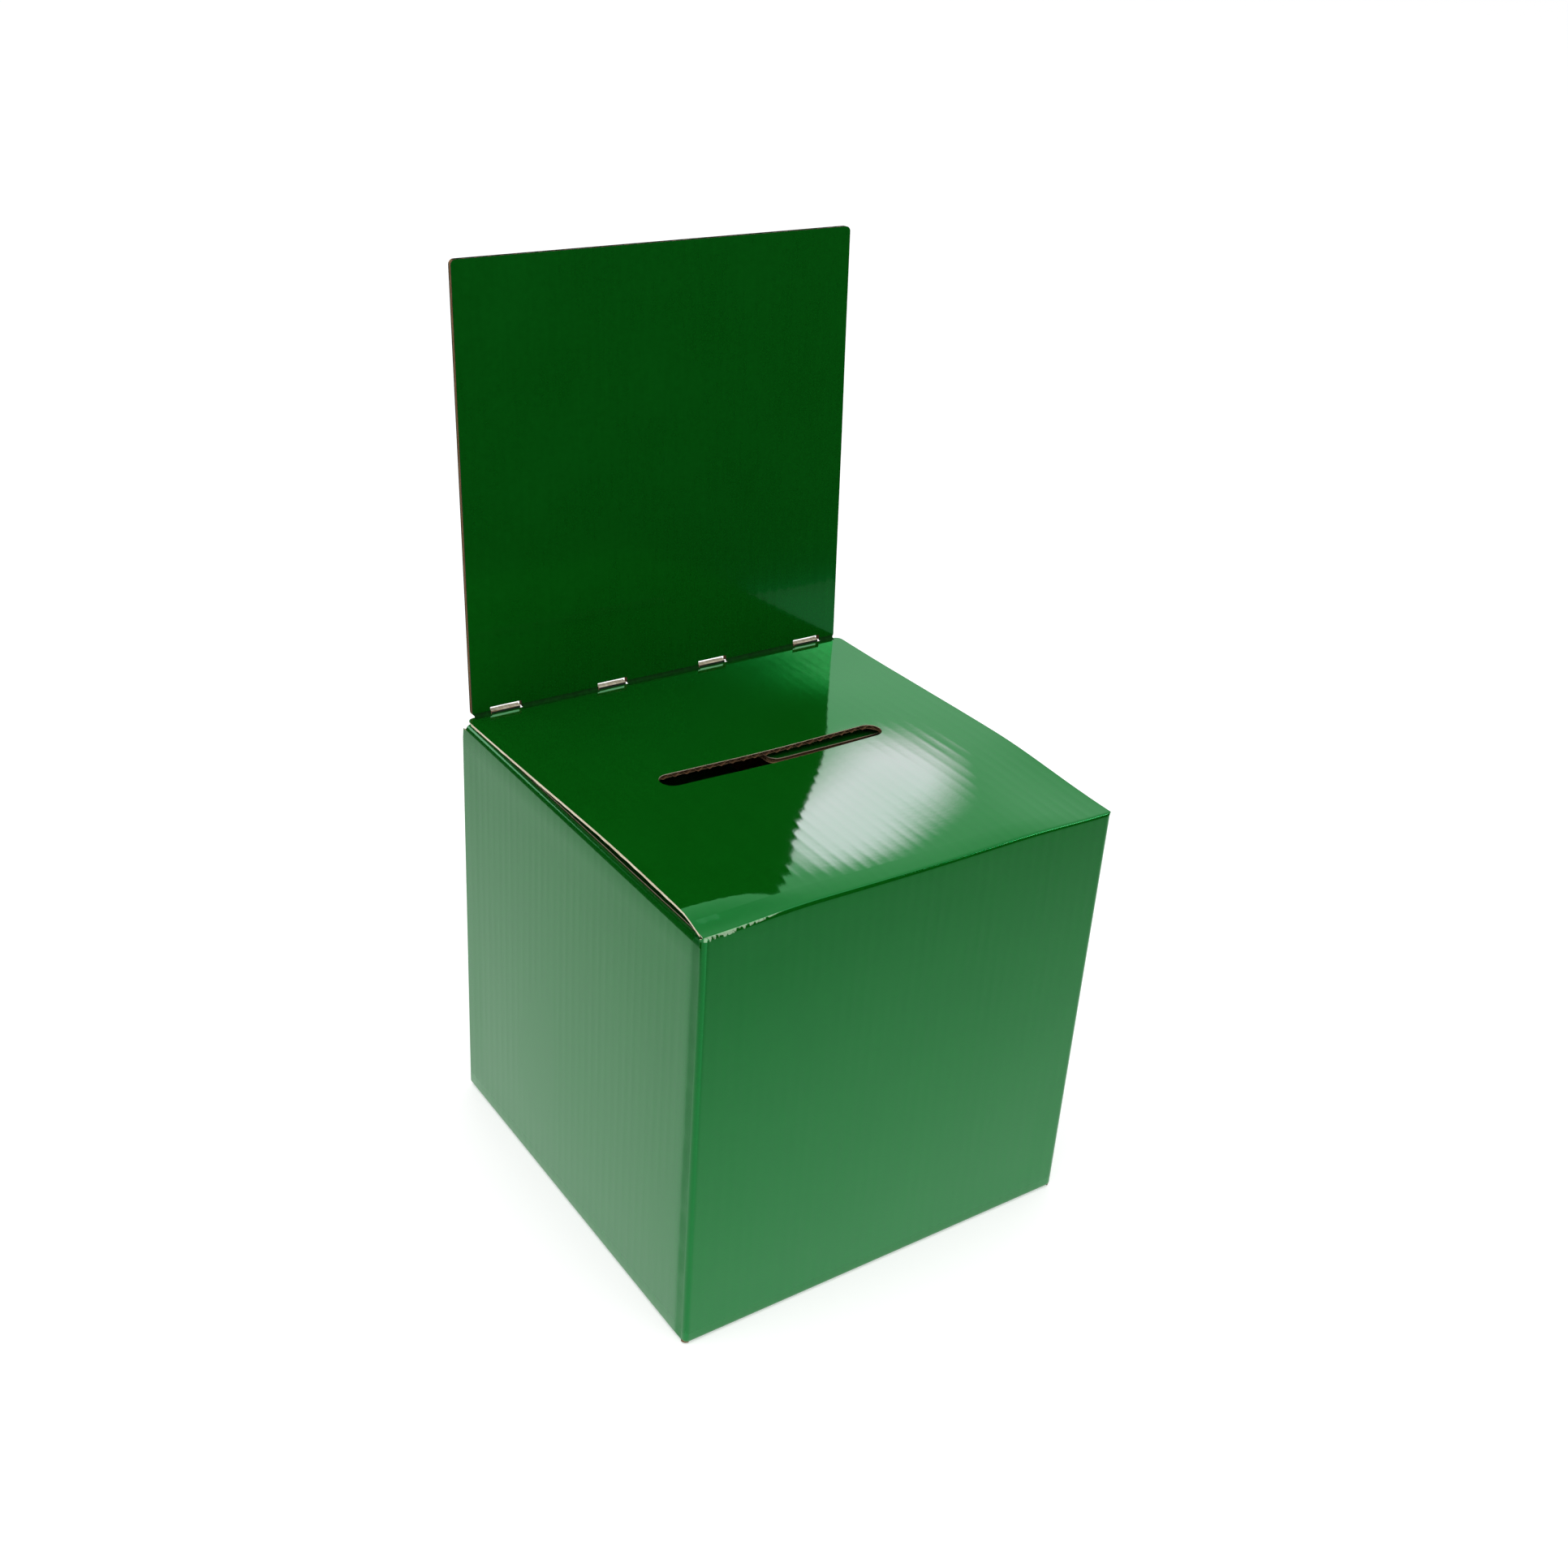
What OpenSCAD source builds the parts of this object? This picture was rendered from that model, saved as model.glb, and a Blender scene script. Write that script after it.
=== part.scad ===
// Ballot box of single-wall corrugated board, cut and folded from one blank.
// The origin is at the middle of the base, on the surface it stands on. The front faces -Y.
// Each panel between two creases is three papers: outer liner, fluting and inner liner.

/* [Box] */
// Width over the side panels
box_w = 228; // [215:1:320]
// Depth over the front and back panels
box_d = 228; // [190:1:320]
// Height from the base to the top of the closed lid
box_h = 228; // [120:1:320]

/* [Board] */
// Thickness of the corrugated board
board_t = 3; // [2.4:0.1:4]
// Thickness of each liner
liner_t = 0.35; // [0.2:0.05:0.5]
// Thickness of the fluted paper
medium_t = 0.25; // [0.15:0.05:0.4]
// Distance from one flute crest to the next
flute_pitch = 6.45; // [5:0.05:9]

/* [Lid] */
// Length of the ballot slot over its round ends
slot_l = 128; // [80:1:150]
// Width of the ballot slot
slot_w = 13; // [8:0.5:20]
// How far the slot's middle lies behind the box's middle
slot_back = 5.3; // [0:0.1:20]
// How far the lid's cut sides stand in from the side panels' outer faces
lid_inset = 0.5; // [0:0.1:3]
// Radius of the lid's rear corners, beside the header's crease
lid_corner_r = 4; // [1:0.5:8]

/* [Header] */
// Height of the header above its crease
header_h = 223; // [60:1:320]
// How far each side of the header stands in from the box's side
header_inset = 4; // [0:0.5:7]
// Lean of the header behind upright, in degrees
header_lean = 3.4; // [0:0.1:8]
// Radius of the header's corners
header_corner_r = 2.5; // [1:0.5:12]

/* [Lock tabs] */
// Number of lock tabs along the back panel's top edge
tab_count = 4; // [2:1:4]
// Width of a lock tab
tab_w = 16; // [8:1:24]
// Distance between the middles of neighbouring tabs
tab_pitch = 61; // [40:1:61]
// How far a tab stands above the closed lid
tab_proud = 1; // [0:0.1:2]
// Gap on each side of a tab, in the header's notch
notch_gap = 0.75; // [0.4:0.05:2]

/* [Dust flaps] */
// Gap between the tips of the two dust flaps
dust_tip_gap = 4; // [2:0.5:20]
// Gap from a dust flap to the front and back panels
dust_end_gap = 5; // [4:0.5:12]
// How far a dust flap's long finger reaches in front of the slot's rear edge
dust_finger_lap = 2; // [0:0.5:4]
// Gap left between a short finger and the slot's round end
dust_slot_gap = 6; // [3:0.5:12]
// How much a finger narrows towards its tip
dust_taper = 5; // [0:0.5:8]
// Sag of the left dust flap below level, in degrees
left_dust_sag = 8; // [0:1:20]

/* [Glue flap] */
// Width of the glue flap along the left panel
glue_w = 35; // [20:1:45]
// How far the glue flap's top stays below the dust flap's crease
glue_top_gap = 12; // [11:1:40]
// Height by which the glue flap's free edge is shorter at each end
glue_taper = 9; // [0:1:20]

/* [Base flaps] */
// Reach of the front base flap, beside its tongue
front_base_reach = 88; // [60:1:100]
// Reach of the front base flap's tongue, which enters the back flap's recess
tongue_reach = 136; // [110:1:145]
// Width of the tongue
tongue_w = 96; // [60:1:110]
// Reach of the left and right base flaps
side_base_reach = 92; // [60:1:92]
// Gap from the front and back base flaps to the side panels' creases
base_side_gap = 2; // [1:0.5:6]
// How much a base flap narrows towards its tip
base_taper = 12; // [0:1:20]

/* [Fits] */
// Gap between parts that move past each other
gap = 0.3; // [0.2:0.05:0.5]
// Gap round the tongue in its recess
tongue_gap = 1; // [0.5:0.1:3]
// Gap between the box's bottom corners and the surface it stands on
corner_lift = 1; // [0:0.1:3]

/* [Cut corners] */
// Radius of the corners at the tips of the flaps
flap_corner_r = 6; // [1:0.5:8]
// Radius of the small corners, inside the flaps' outlines and on the glue flap
small_corner_r = 2; // [0.5:0.5:3]

/* [Hidden] */

// The three papers of a board, counted from its inner face
INNER = 0;
FLUTING = 1;
OUTER = 2;

// Turns about Z that carry the front panel's place to each of the other sides
FRONT = 0;
RIGHT = 90;
BACK = 180;
LEFT = -90;

// Half the clear inside width and depth, which are also the places of the creases
half_w = box_w / 2 - board_t;
half_d = box_d / 2 - board_t;
// Depth into a board at which each paper starts and ends, flat and round a fold
paper_span = [[0, liner_t], [liner_t, board_t - liner_t], [board_t - liner_t, board_t]];
fold_span = [[0, liner_t], [board_t - liner_t - medium_t, board_t - liner_t], [board_t - liner_t, board_t]];

lid_under = box_h - board_t;
lid_axis_y = -box_d / 2 + board_t / 2;
lid_axis_z = box_h - board_t / 2;
header_axis_y = half_d - gap;
dust_axis_z = lid_under - gap - board_t;
back_top = lid_under - gap;
tab_top = box_h + tab_proud;
notch_depth = norm([board_t + gap, tab_proud]) + gap;
slot_rear = slot_back + slot_w / 2;

// One flute, as shares of its pitch: half the width of its crest, and where its flank starts
crest_share = 0.061;
flank_share = 0.153;
// Height of the flank's start, as a share of the wave's swing
flank_height = 0.62;
// How far each face of the fluted paper is shifted along the wave, at a crest and on a flank
crest_shift = 0.215 * medium_t;
flank_shift = 0.717 * medium_t;
// How far a cutting shape runs past the face that it cuts
cut_over = 1;

$fn = 48;

// Papers and boards, in a panel's own frame:
// X runs across the flutes, Y along them, and Z from the inner face to the outer one

// Points of one face of the fluted paper over one pitch; side is 1 for its upper face, -1 for its lower
function flute_points(start, pitch, swing, side) = let (
    crest = crest_share * pitch + side * crest_shift,
    trough = crest_share * pitch - side * crest_shift,
    flank = flank_share * pitch,
    lean = side * flank_shift,
    lift = side * medium_t / 2,
    low = flank_height * swing
  ) [for (p = [
      [crest, swing + lift], [flank + lean, low], [pitch / 2 - flank + lean, -low],
      [pitch / 2 - trough, lift - swing], [pitch / 2 + trough, lift - swing],
      [pitch / 2 + flank - lean, -low], [pitch - flank - lean, low], [pitch - crest, swing + lift]
    ]) [start + p[0], board_t / 2 + p[1]]];

function flute_face(u, count, side) = let (
    pitch = (u[1] - u[0]) / count,
    swing = (board_t - 2 * liner_t - medium_t) / 2,
    crest = board_t / 2 + swing + side * medium_t / 2
  ) concat(
    [[u[0], crest]],
    [for (i = [0 : count - 1]) each flute_points(u[0] + i * pitch, pitch, swing, side)],
    [[u[1], crest]]
  );

function reversed(list) = [for (i = [len(list) - 1 : -1 : 0]) list[i]];

// Fluted paper over a rectangle: a wave that fits a whole number of flutes across it
module fluted_sheet(u, v) {
  count = max(1, round((u[1] - u[0]) / flute_pitch));
  translate([0, v[1], 0])
    rotate([90, 0, 0])
      linear_extrude(v[1] - v[0])
        polygon(concat(flute_face(u, count, 1), reversed(flute_face(u, count, -1))));
}

// One paper over a rectangle
module paper(layer, u, v) {
  span = paper_span[layer];
  if (layer == FLUTING) {
    fluted_sheet(u, v);
  } else {
    translate([u[0], v[0], span[0]])
      cube([u[1] - u[0], v[1] - v[0], span[1] - span[0]]);
  }
}

// One paper cut to a flat outline that lies within the rectangle
module cut_paper(layer, u, v) {
  span = paper_span[layer];
  if (layer == FLUTING) {
    intersection() {
      fluted_sheet(u, v);
      linear_extrude(board_t)
        children();
    }
  } else {
    translate([0, 0, span[0]])
      linear_extrude(span[1] - span[0])
        children();
  }
}

// Quarter of a ring, from the outer face round to side 1 or -1
module quarter_ring(span, side) {
  intersection() {
    difference() {
      circle(r = span[1]);
      if (span[0] > 0) circle(r = span[0]);
    }
    translate([min(side, 0) * board_t, 0]) square(board_t);
  }
}

// Fold that runs along the flutes at u, turning towards side 1 or -1
module upright_fold(layer, u, side, v) {
  translate([u, v[1], 0])
    rotate([90, 0, 0])
      linear_extrude(v[1] - v[0])
        quarter_ring(fold_span[layer], side);
}

// Fold that runs across the flutes at v, turning towards side 1 or -1
module cross_fold(layer, v, side, u) {
  translate([u[0], v, 0])
    rotate([90, 0, 90])
      linear_extrude(u[1] - u[0])
        quarter_ring(fold_span[layer], side);
}

// Rounded end of a panel, on the axis of a crease that bends both ways
module crease_bead(layer, v, u) {
  r = board_t / 2;
  core_r = r - liner_t;
  translate([u[0], v, r])
    rotate([90, 0, 90])
      linear_extrude(u[1] - u[0])
        intersection() {
          difference() {
            circle(r = layer == OUTER ? r : core_r);
            if (layer == OUTER) circle(r = core_r);
          }
          translate([0, -r]) square([r, board_t]);
        }
}

// Outline with rounded corners, from points [x, y, corner radius]
function corner_arc(a, b, c, steps = 5) = let (
    to_a = [a[0] - b[0], a[1] - b[1]] / norm([a[0] - b[0], a[1] - b[1]]),
    to_c = [c[0] - b[0], c[1] - b[1]] / norm([c[0] - b[0], c[1] - b[1]]),
    half = acos(to_a * to_c) / 2,
    middle = [b[0], b[1]] + (to_a + to_c) / norm(to_a + to_c) * b[2] / sin(half),
    first = [b[0], b[1]] + to_a * b[2] / tan(half) - middle,
    turn = (180 - 2 * half) * sign(to_c[0] * to_a[1] - to_c[1] * to_a[0])
  ) b[2] == 0 ? [[b[0], b[1]]] : [for (i = [0 : steps]) let (t = turn * i / steps)
      middle + [first[0] * cos(t) - first[1] * sin(t), first[0] * sin(t) + first[1] * cos(t)]];

module outline(points) {
  n = len(points);
  polygon([for (i = [0 : n - 1]) each corner_arc(points[(i + n - 1) % n], points[i], points[(i + 1) % n])]);
}

// Places of the boards

// Upright panel: reach is the box's size square to it, and depth moves it inwards
module wall_place(turn, reach, depth = 0) {
  rotate([0, 0, turn])
    translate([0, depth - reach, 0])
      rotate([90, 0, 0])
        children();
}

// Flap under the box, folded inwards, with its outer face down
module base_place(turn, reach, level = 0) {
  rotate([0, 0, turn])
    translate([0, -reach, board_t + level])
      rotate([0, 180, 0])
        children();
}

// Flap under the lid, folded inwards, with its outer face up
module dust_place(turn, sag = 0) {
  rotate([0, 0, turn])
    translate([0, -half_w, dust_axis_z])
      rotate([-sag, 0, 0])
        children();
}

module printed(layer) {
  color(layer == OUTER ? [0.03, 0.32, 0.06] : layer == FLUTING ? [0.50, 0.36, 0.22] : [0.66, 0.52, 0.36])
    children();
}

// Panels of the sleeve

module front_panel(layer) {
  u = [-half_w, half_w];
  v = [board_t, lid_axis_z];
  printed(layer)
    wall_place(FRONT, half_d) {
      paper(layer, u, v);
      cross_fold(layer, board_t, -1, u);
      if (layer != INNER) crease_bead(layer, lid_axis_z, u);
      for (side = [-1, 1]) upright_fold(layer, side * half_w, side, [corner_lift, lid_axis_z]);
    }
}

module back_outline() {
  translate([-half_w, board_t]) square([2 * half_w - board_t, back_top - board_t]);
  for (i = [0 : tab_count - 1])
    translate([(i - (tab_count - 1) / 2) * tab_pitch - tab_w / 2, board_t])
      square([tab_w, tab_top - board_t]);
}

module back_panel(layer) {
  u = [-half_w, half_w - board_t];
  folds = [corner_lift, back_top];
  printed(layer)
    wall_place(BACK, half_d) {
      cut_paper(layer, u, [board_t, tab_top]) back_outline();
      cross_fold(layer, board_t, -1, u);
      upright_fold(layer, u[0], -1, folds);
      upright_fold(layer, u[1], 1, folds);
    }
}

module side_panel(layer, turn, u) {
  wall_place(turn, half_w) {
    paper(layer, u, [board_t, dust_axis_z]);
    cross_fold(layer, board_t, -1, u);
    cross_fold(layer, dust_axis_z, 1, [-half_d, half_d]);
  }
}

module left_panel(layer) {
  printed(layer) side_panel(layer, LEFT, [-box_d / 2, half_d]);
}

module right_panel(layer) {
  printed(layer) side_panel(layer, RIGHT, [-half_d, half_d]);
}

module glue_flap(layer) {
  low = 2 * board_t + gap;
  high = dust_axis_z - glue_top_gap;
  u = [-half_d, glue_w - half_d];
  printed(layer)
    wall_place(LEFT, half_w, board_t)
      cut_paper(layer, u, [low, high])
        outline([
          [u[0], low, 0], [u[1], low + glue_taper, small_corner_r],
          [u[1], high - glue_taper, small_corner_r], [u[0], high, 0]
        ]);
}

// Flaps of the base

module front_base_flap(layer) {
  root = half_w - base_side_gap;
  tip = root - base_taper;
  printed(layer)
    base_place(FRONT, half_d)
      cut_paper(layer, [-root, root], [0, tongue_reach])
        outline([
          [-root, 0, 0], [root, 0, 0], [tip, front_base_reach, flap_corner_r],
          [tongue_w / 2, front_base_reach, small_corner_r], [tongue_w / 2, tongue_reach, flap_corner_r],
          [-tongue_w / 2, tongue_reach, flap_corner_r], [-tongue_w / 2, front_base_reach, small_corner_r],
          [-tip, front_base_reach, flap_corner_r]
        ]);
}

module back_base_flap(layer) {
  root = half_w - base_side_gap;
  tip = root - base_taper;
  leg = 2 * half_d - front_base_reach - tongue_gap;
  recess = 2 * half_d - tongue_reach - tongue_gap;
  half_recess = tongue_w / 2 + tongue_gap;
  recess_corner_r = flap_corner_r + tongue_gap;
  printed(layer)
    base_place(BACK, half_d)
      difference() {
        cut_paper(layer, [-root, root], [0, leg])
          outline([[-root, 0, 0], [root, 0, 0], [tip, leg, flap_corner_r], [-tip, leg, flap_corner_r]]);
        translate([0, 0, -cut_over])
          linear_extrude(board_t + 2 * cut_over)
            outline([
              [-half_recess, recess, recess_corner_r], [half_recess, recess, recess_corner_r],
              [half_recess, leg + cut_over, 0], [-half_recess, leg + cut_over, 0]
            ]);
      }
}

module side_base_flap(layer, turn) {
  root = half_d - base_side_gap;
  tip = root - 2 * base_taper;
  base_place(turn, half_w, board_t)
    cut_paper(layer, [-root, root], [0, side_base_reach])
      outline([
        [-root, 0, 0], [root, 0, 0],
        [tip, side_base_reach, flap_corner_r], [-tip, side_base_reach, flap_corner_r]
      ]);
}

module left_base_flap(layer) {
  printed(layer) side_base_flap(layer, LEFT);
}

module right_base_flap(layer) {
  printed(layer) side_base_flap(layer, RIGHT);
}

// Moving panels

module slot_cutter() {
  end = slot_l / 2 - slot_w / 2;
  depth = board_t + 2 * cut_over;
  translate([0, slot_back, -cut_over]) {
    for (side = [-1, 1])
      translate([side * end, 0, 0]) cylinder(d = slot_w, h = depth);
    translate([-end, -slot_w / 2, 0]) cube([2 * end, slot_w, depth]);
  }
}

module lid(layer) {
  half = box_w / 2 - lid_inset;
  front = lid_axis_y + board_t / 2 + gap;
  printed(layer)
    translate([0, 0, lid_under])
      difference() {
        cut_paper(layer, [-half, half], [front, header_axis_y])
          outline([
            [-half, front, 0], [half, front, 0],
            [half, header_axis_y, lid_corner_r], [-half, header_axis_y, lid_corner_r]
          ]);
        slot_cutter();
      }
}

module header_outline(half) {
  difference() {
    outline([
      [-half, gap, header_corner_r], [half, gap, header_corner_r],
      [half, header_h, header_corner_r], [-half, header_h, header_corner_r]
    ]);
    for (i = [0 : tab_count - 1])
      translate([(i - (tab_count - 1) / 2) * tab_pitch - tab_w / 2 - notch_gap, 0])
        square([tab_w + 2 * notch_gap, notch_depth]);
  }
}

module header(layer) {
  half = box_w / 2 - header_inset;
  printed(layer)
    translate([0, header_axis_y, box_h])
      rotate([-header_lean, 0, 0])
        translate([0, board_t, 0])
          rotate([90, 0, 0])
            cut_paper(layer, [-half, half], [gap, header_h]) header_outline(half);
}

// Dust flap with a long finger behind the ballot slot and a short one beside it
module dust_flap(layer) {
  root = half_d - dust_end_gap;
  inner_edge = slot_rear - dust_finger_lap;
  long_reach = half_w - dust_tip_gap / 2;
  short_reach = half_w - slot_l / 2 - dust_slot_gap;
  cut_paper(layer, [-root, root], [gap, long_reach])
    outline([
      [-root, gap, 0], [root, gap, 0], [root - dust_taper, long_reach, flap_corner_r],
      [inner_edge, long_reach, flap_corner_r], [inner_edge, short_reach, small_corner_r],
      [dust_taper - root, short_reach, flap_corner_r]
    ]);
}

module left_dust_flap(layer) {
  printed(layer)
    dust_place(LEFT, left_dust_sag)
      mirror([1, 0, 0]) dust_flap(layer);
}

module right_dust_flap(layer) {
  printed(layer)
    dust_place(RIGHT) dust_flap(layer);
}

front_panel(OUTER);  // front_panel_outer_liner
front_panel(FLUTING);  // front_panel_fluting
front_panel(INNER);  // front_panel_inner_liner
back_panel(OUTER);  // back_panel_outer_liner
back_panel(FLUTING);  // back_panel_fluting
back_panel(INNER);  // back_panel_inner_liner
left_panel(OUTER);  // left_panel_outer_liner
left_panel(FLUTING);  // left_panel_fluting
left_panel(INNER);  // left_panel_inner_liner
right_panel(OUTER);  // right_panel_outer_liner
right_panel(FLUTING);  // right_panel_fluting
right_panel(INNER);  // right_panel_inner_liner
glue_flap(OUTER);  // glue_flap_outer_liner
glue_flap(FLUTING);  // glue_flap_fluting
glue_flap(INNER);  // glue_flap_inner_liner
front_base_flap(OUTER);  // front_base_flap_outer_liner
front_base_flap(FLUTING);  // front_base_flap_fluting
front_base_flap(INNER);  // front_base_flap_inner_liner
back_base_flap(OUTER);  // back_base_flap_outer_liner
back_base_flap(FLUTING);  // back_base_flap_fluting
back_base_flap(INNER);  // back_base_flap_inner_liner
left_base_flap(OUTER);  // left_base_flap_outer_liner
left_base_flap(FLUTING);  // left_base_flap_fluting
left_base_flap(INNER);  // left_base_flap_inner_liner
right_base_flap(OUTER);  // right_base_flap_outer_liner
right_base_flap(FLUTING);  // right_base_flap_fluting
right_base_flap(INNER);  // right_base_flap_inner_liner
lid(OUTER);  // lid_outer_liner
lid(FLUTING);  // lid_fluting
lid(INNER);  // lid_inner_liner
header(OUTER);  // header_outer_liner
header(FLUTING);  // header_fluting
header(INNER);  // header_inner_liner
left_dust_flap(OUTER);  // left_dust_flap_outer_liner
left_dust_flap(FLUTING);  // left_dust_flap_fluting
left_dust_flap(INNER);  // left_dust_flap_inner_liner
right_dust_flap(OUTER);  // right_dust_flap_outer_liner
right_dust_flap(FLUTING);  // right_dust_flap_fluting
right_dust_flap(INNER);  // right_dust_flap_inner_liner
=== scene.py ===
"""Looks of the corrugated board ballot box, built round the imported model. Lengths are in metres."""
import math
import random

import bmesh
import bpy
import numpy as np
from mathutils import Matrix, Vector


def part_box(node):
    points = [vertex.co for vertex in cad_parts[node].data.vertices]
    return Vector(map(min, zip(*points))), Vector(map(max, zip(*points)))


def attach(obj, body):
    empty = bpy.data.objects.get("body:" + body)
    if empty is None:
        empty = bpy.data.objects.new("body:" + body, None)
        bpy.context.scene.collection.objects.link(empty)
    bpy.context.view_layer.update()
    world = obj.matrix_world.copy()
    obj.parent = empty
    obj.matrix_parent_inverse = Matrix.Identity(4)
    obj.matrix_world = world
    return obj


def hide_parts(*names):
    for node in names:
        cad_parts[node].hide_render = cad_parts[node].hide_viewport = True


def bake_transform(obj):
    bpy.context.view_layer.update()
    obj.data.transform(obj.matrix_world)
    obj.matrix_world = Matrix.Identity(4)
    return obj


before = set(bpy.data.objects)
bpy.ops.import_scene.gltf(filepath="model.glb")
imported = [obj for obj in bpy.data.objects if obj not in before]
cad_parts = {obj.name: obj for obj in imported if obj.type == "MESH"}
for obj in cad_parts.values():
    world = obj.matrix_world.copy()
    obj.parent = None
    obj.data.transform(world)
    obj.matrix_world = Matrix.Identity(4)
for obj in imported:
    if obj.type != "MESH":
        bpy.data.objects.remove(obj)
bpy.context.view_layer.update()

MM = 0.001

# Sizes read from the frame
BOX_HALF = -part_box("left_panel_outer_liner")[0].x
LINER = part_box("lid_outer_liner")[1].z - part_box("lid_outer_liner")[0].z
LID_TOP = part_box("lid_outer_liner")[1].z
LID_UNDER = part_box("lid_inner_liner")[0].z
BOARD = LID_TOP - LID_UNDER
LID_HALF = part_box("lid_outer_liner")[1].x
LID_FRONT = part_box("lid_outer_liner")[0].y
LID_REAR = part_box("lid_outer_liner")[1].y
INNER_HALF = BOX_HALF - BOARD
BACK_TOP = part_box("back_panel_inner_liner")[1].z
HEADER_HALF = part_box("header_outer_liner")[1].x
DUST_FOLD_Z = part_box("left_panel_outer_liner")[1].z - BOARD

# Sizes of the blank that the frame's boxes don't give
MEDIUM = 0.25 * MM
FLUTE = 6.45 * MM
LID_CORNER_R = 4 * MM
SLOT_LENGTH = 128 * MM
SLOT_WIDTH = 13 * MM
SLOT_Y = 5.3 * MM
HEADER_HEIGHT = 223 * MM
HEADER_LEAN = math.radians(3.4)
HEADER_CORNER_R = 2.5 * MM
HEADER_GAP = 0.3 * MM
NOTCH_DEPTH = 3.75 * MM
NOTCH_WIDTH = 17.5 * MM
TAB_WIDTH = 16 * MM
TAB_TOP = LID_TOP + 1 * MM
TAB_PLACES = [-91.5 * MM, -30.5 * MM, 30.5 * MM, 91.5 * MM]
FOLD_ARC = BOARD * math.pi / 2

# The board is crushed beside the front left fold: how deep, how wide, and how far it fades below the crease
CRUSH_DEPTH = 0.30 * MM
CRUSH_REACH = 9.5 * MM
CRUSH_FADE = 15 * MM

# The left panel leans in below its top fold: how deep, and over what height
LEAN_DEPTH = 0.32 * MM
LEAN_REACH = 6.5 * MM

# Where the skin over the front crease starts on the front panel and ends on the lid
CREASE_LOW = 222 * MM
CREASE_REAR = -103 * MM
CREASE_BEND = 1.7 * MM

# Grid lines of a sheet: columns for each flute, the spacing along the flutes, and steps round a fold
COLUMNS = 8
ROW_STEP = 5 * MM
FOLD_STEPS = 8

# Meshes: how far a cutter reaches past what it cuts, sideways and through it, and what counts as
# one point and as a sharp edge
CUT_OVER = 1 * MM
CUT_THROUGH = 5 * MM
SAME_POINT = 0.002 * MM
SHARP_ANGLE = math.radians(32)

# Seeds of the random unevenness of each surface; a wall's next number goes to its ripple
SEEDS = {
    "crown": 11, "lid_ripple": 12, "header_ripple": 31, "header_swell": 32,
    "front": 41, "left": 51, "right": 61, "back": 71, "cut_edge": 81, "tab_end": 90,
}


# The skin over the front crease: how far round the side folds it reaches, and the spacing of its rows
SKIN_TURN = math.radians(86)
SKIN_STEP = 1.2 * MM

# How far the back panel's liner stops below its board's top, between the tabs
LINER_STOP = 4.3 * MM

# The lid's core stops this far inside its sides, and its underside stands back from the slot
LID_CORE_INSET = 6 * MM
SLOT_SET_BACK = 1.4 * MM

# Strip of the header's crease: how far it stops inside the header's sides, its thickness, and its path in y
# and z, which bends from the lid's face into the inner corner and up to the header's face
STRIP_INSET = 0.8 * MM
STRIP_THICKNESS = 0.06 * MM
STRIP_START = (LID_REAR - 2.2 * MM, LID_TOP + 0.03 * MM)
STRIP_BEND = (LID_REAR - 0.15 * MM, LID_TOP + 0.05 * MM)
STRIP_END = (LID_REAR + 2 * MM * math.sin(HEADER_LEAN), LID_TOP + 2 * MM)

# Pressed edge of the lid: the depths at which it starts and ends, how far it is set in at its top, how much
# more it is set in at its bottom, and its thickness
EDGE_START = 0.12 * MM
EDGE_END = 1.8 * MM
EDGE_SET_IN = 0.10 * MM
EDGE_HOLLOW = 0.35 * MM
EDGE_THICKNESS = 0.15 * MM

# Pressed end of a lock tab, measured along its skin from its foot: where it starts to turn and over what
# length, where its flat top starts, and where it ends
TAB_TURN = 0.9 * MM
TAB_TURN_LENGTH = 1.2 * MM
TAB_FLAT = 1.6 * MM
TAB_END = 4.3 * MM

# And its place: how far its foot is below the tab's top, the radius of its turn, its front and rear, how much
# narrower it is than the tab, how much the top climbs to the rear, its unevenness and its thickness
TAB_FOOT = 1.5 * MM
TAB_ROUND = 0.75 * MM
TAB_FRONT = LID_REAR + 0.2 * MM
TAB_REAR = BOX_HALF - 0.15 * MM
TAB_INSET = 0.1 * MM
TAB_CLIMB = 0.35 / 3
TAB_UNEVEN = 0.10 * MM
TAB_THICKNESS = 0.12 * MM


def smooth(t):
    """Smooth step from 0 to 1."""
    t = np.clip(t, 0, 1)
    return t * t * (3 - 2 * t)


def ramp(value, start, end):
    """Smooth step of a value, from 0 at the start to 1 at the end."""
    return smooth((value - start) / (end - start))


def bend(t, start, middle, end):
    """Value at t, from 0 to 1, on a curve from the start to the end that is drawn towards the middle."""
    return (1 - t)**2 * start + 2 * t * (1 - t) * middle + t**2 * end


def uneven(a, b, size, seed, waves=7):
    """Slow random unevenness over two coordinates, about -1 to 1, with swells of about that size."""
    rng = random.Random(seed)
    total = np.zeros_like(a)
    for _ in range(waves):
        turn = rng.uniform(0, math.pi)
        pitch = size * rng.uniform(0.7, 1.6)
        phase = rng.uniform(0, 2 * math.pi)
        total += np.sin(2 * math.pi * (a * math.cos(turn) + b * math.sin(turn)) / pitch + phase)
    return total / math.sqrt(waves)


# Flat meshes in a panel's own frame: u across the flutes, v along them, w from the inner face outwards


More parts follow.
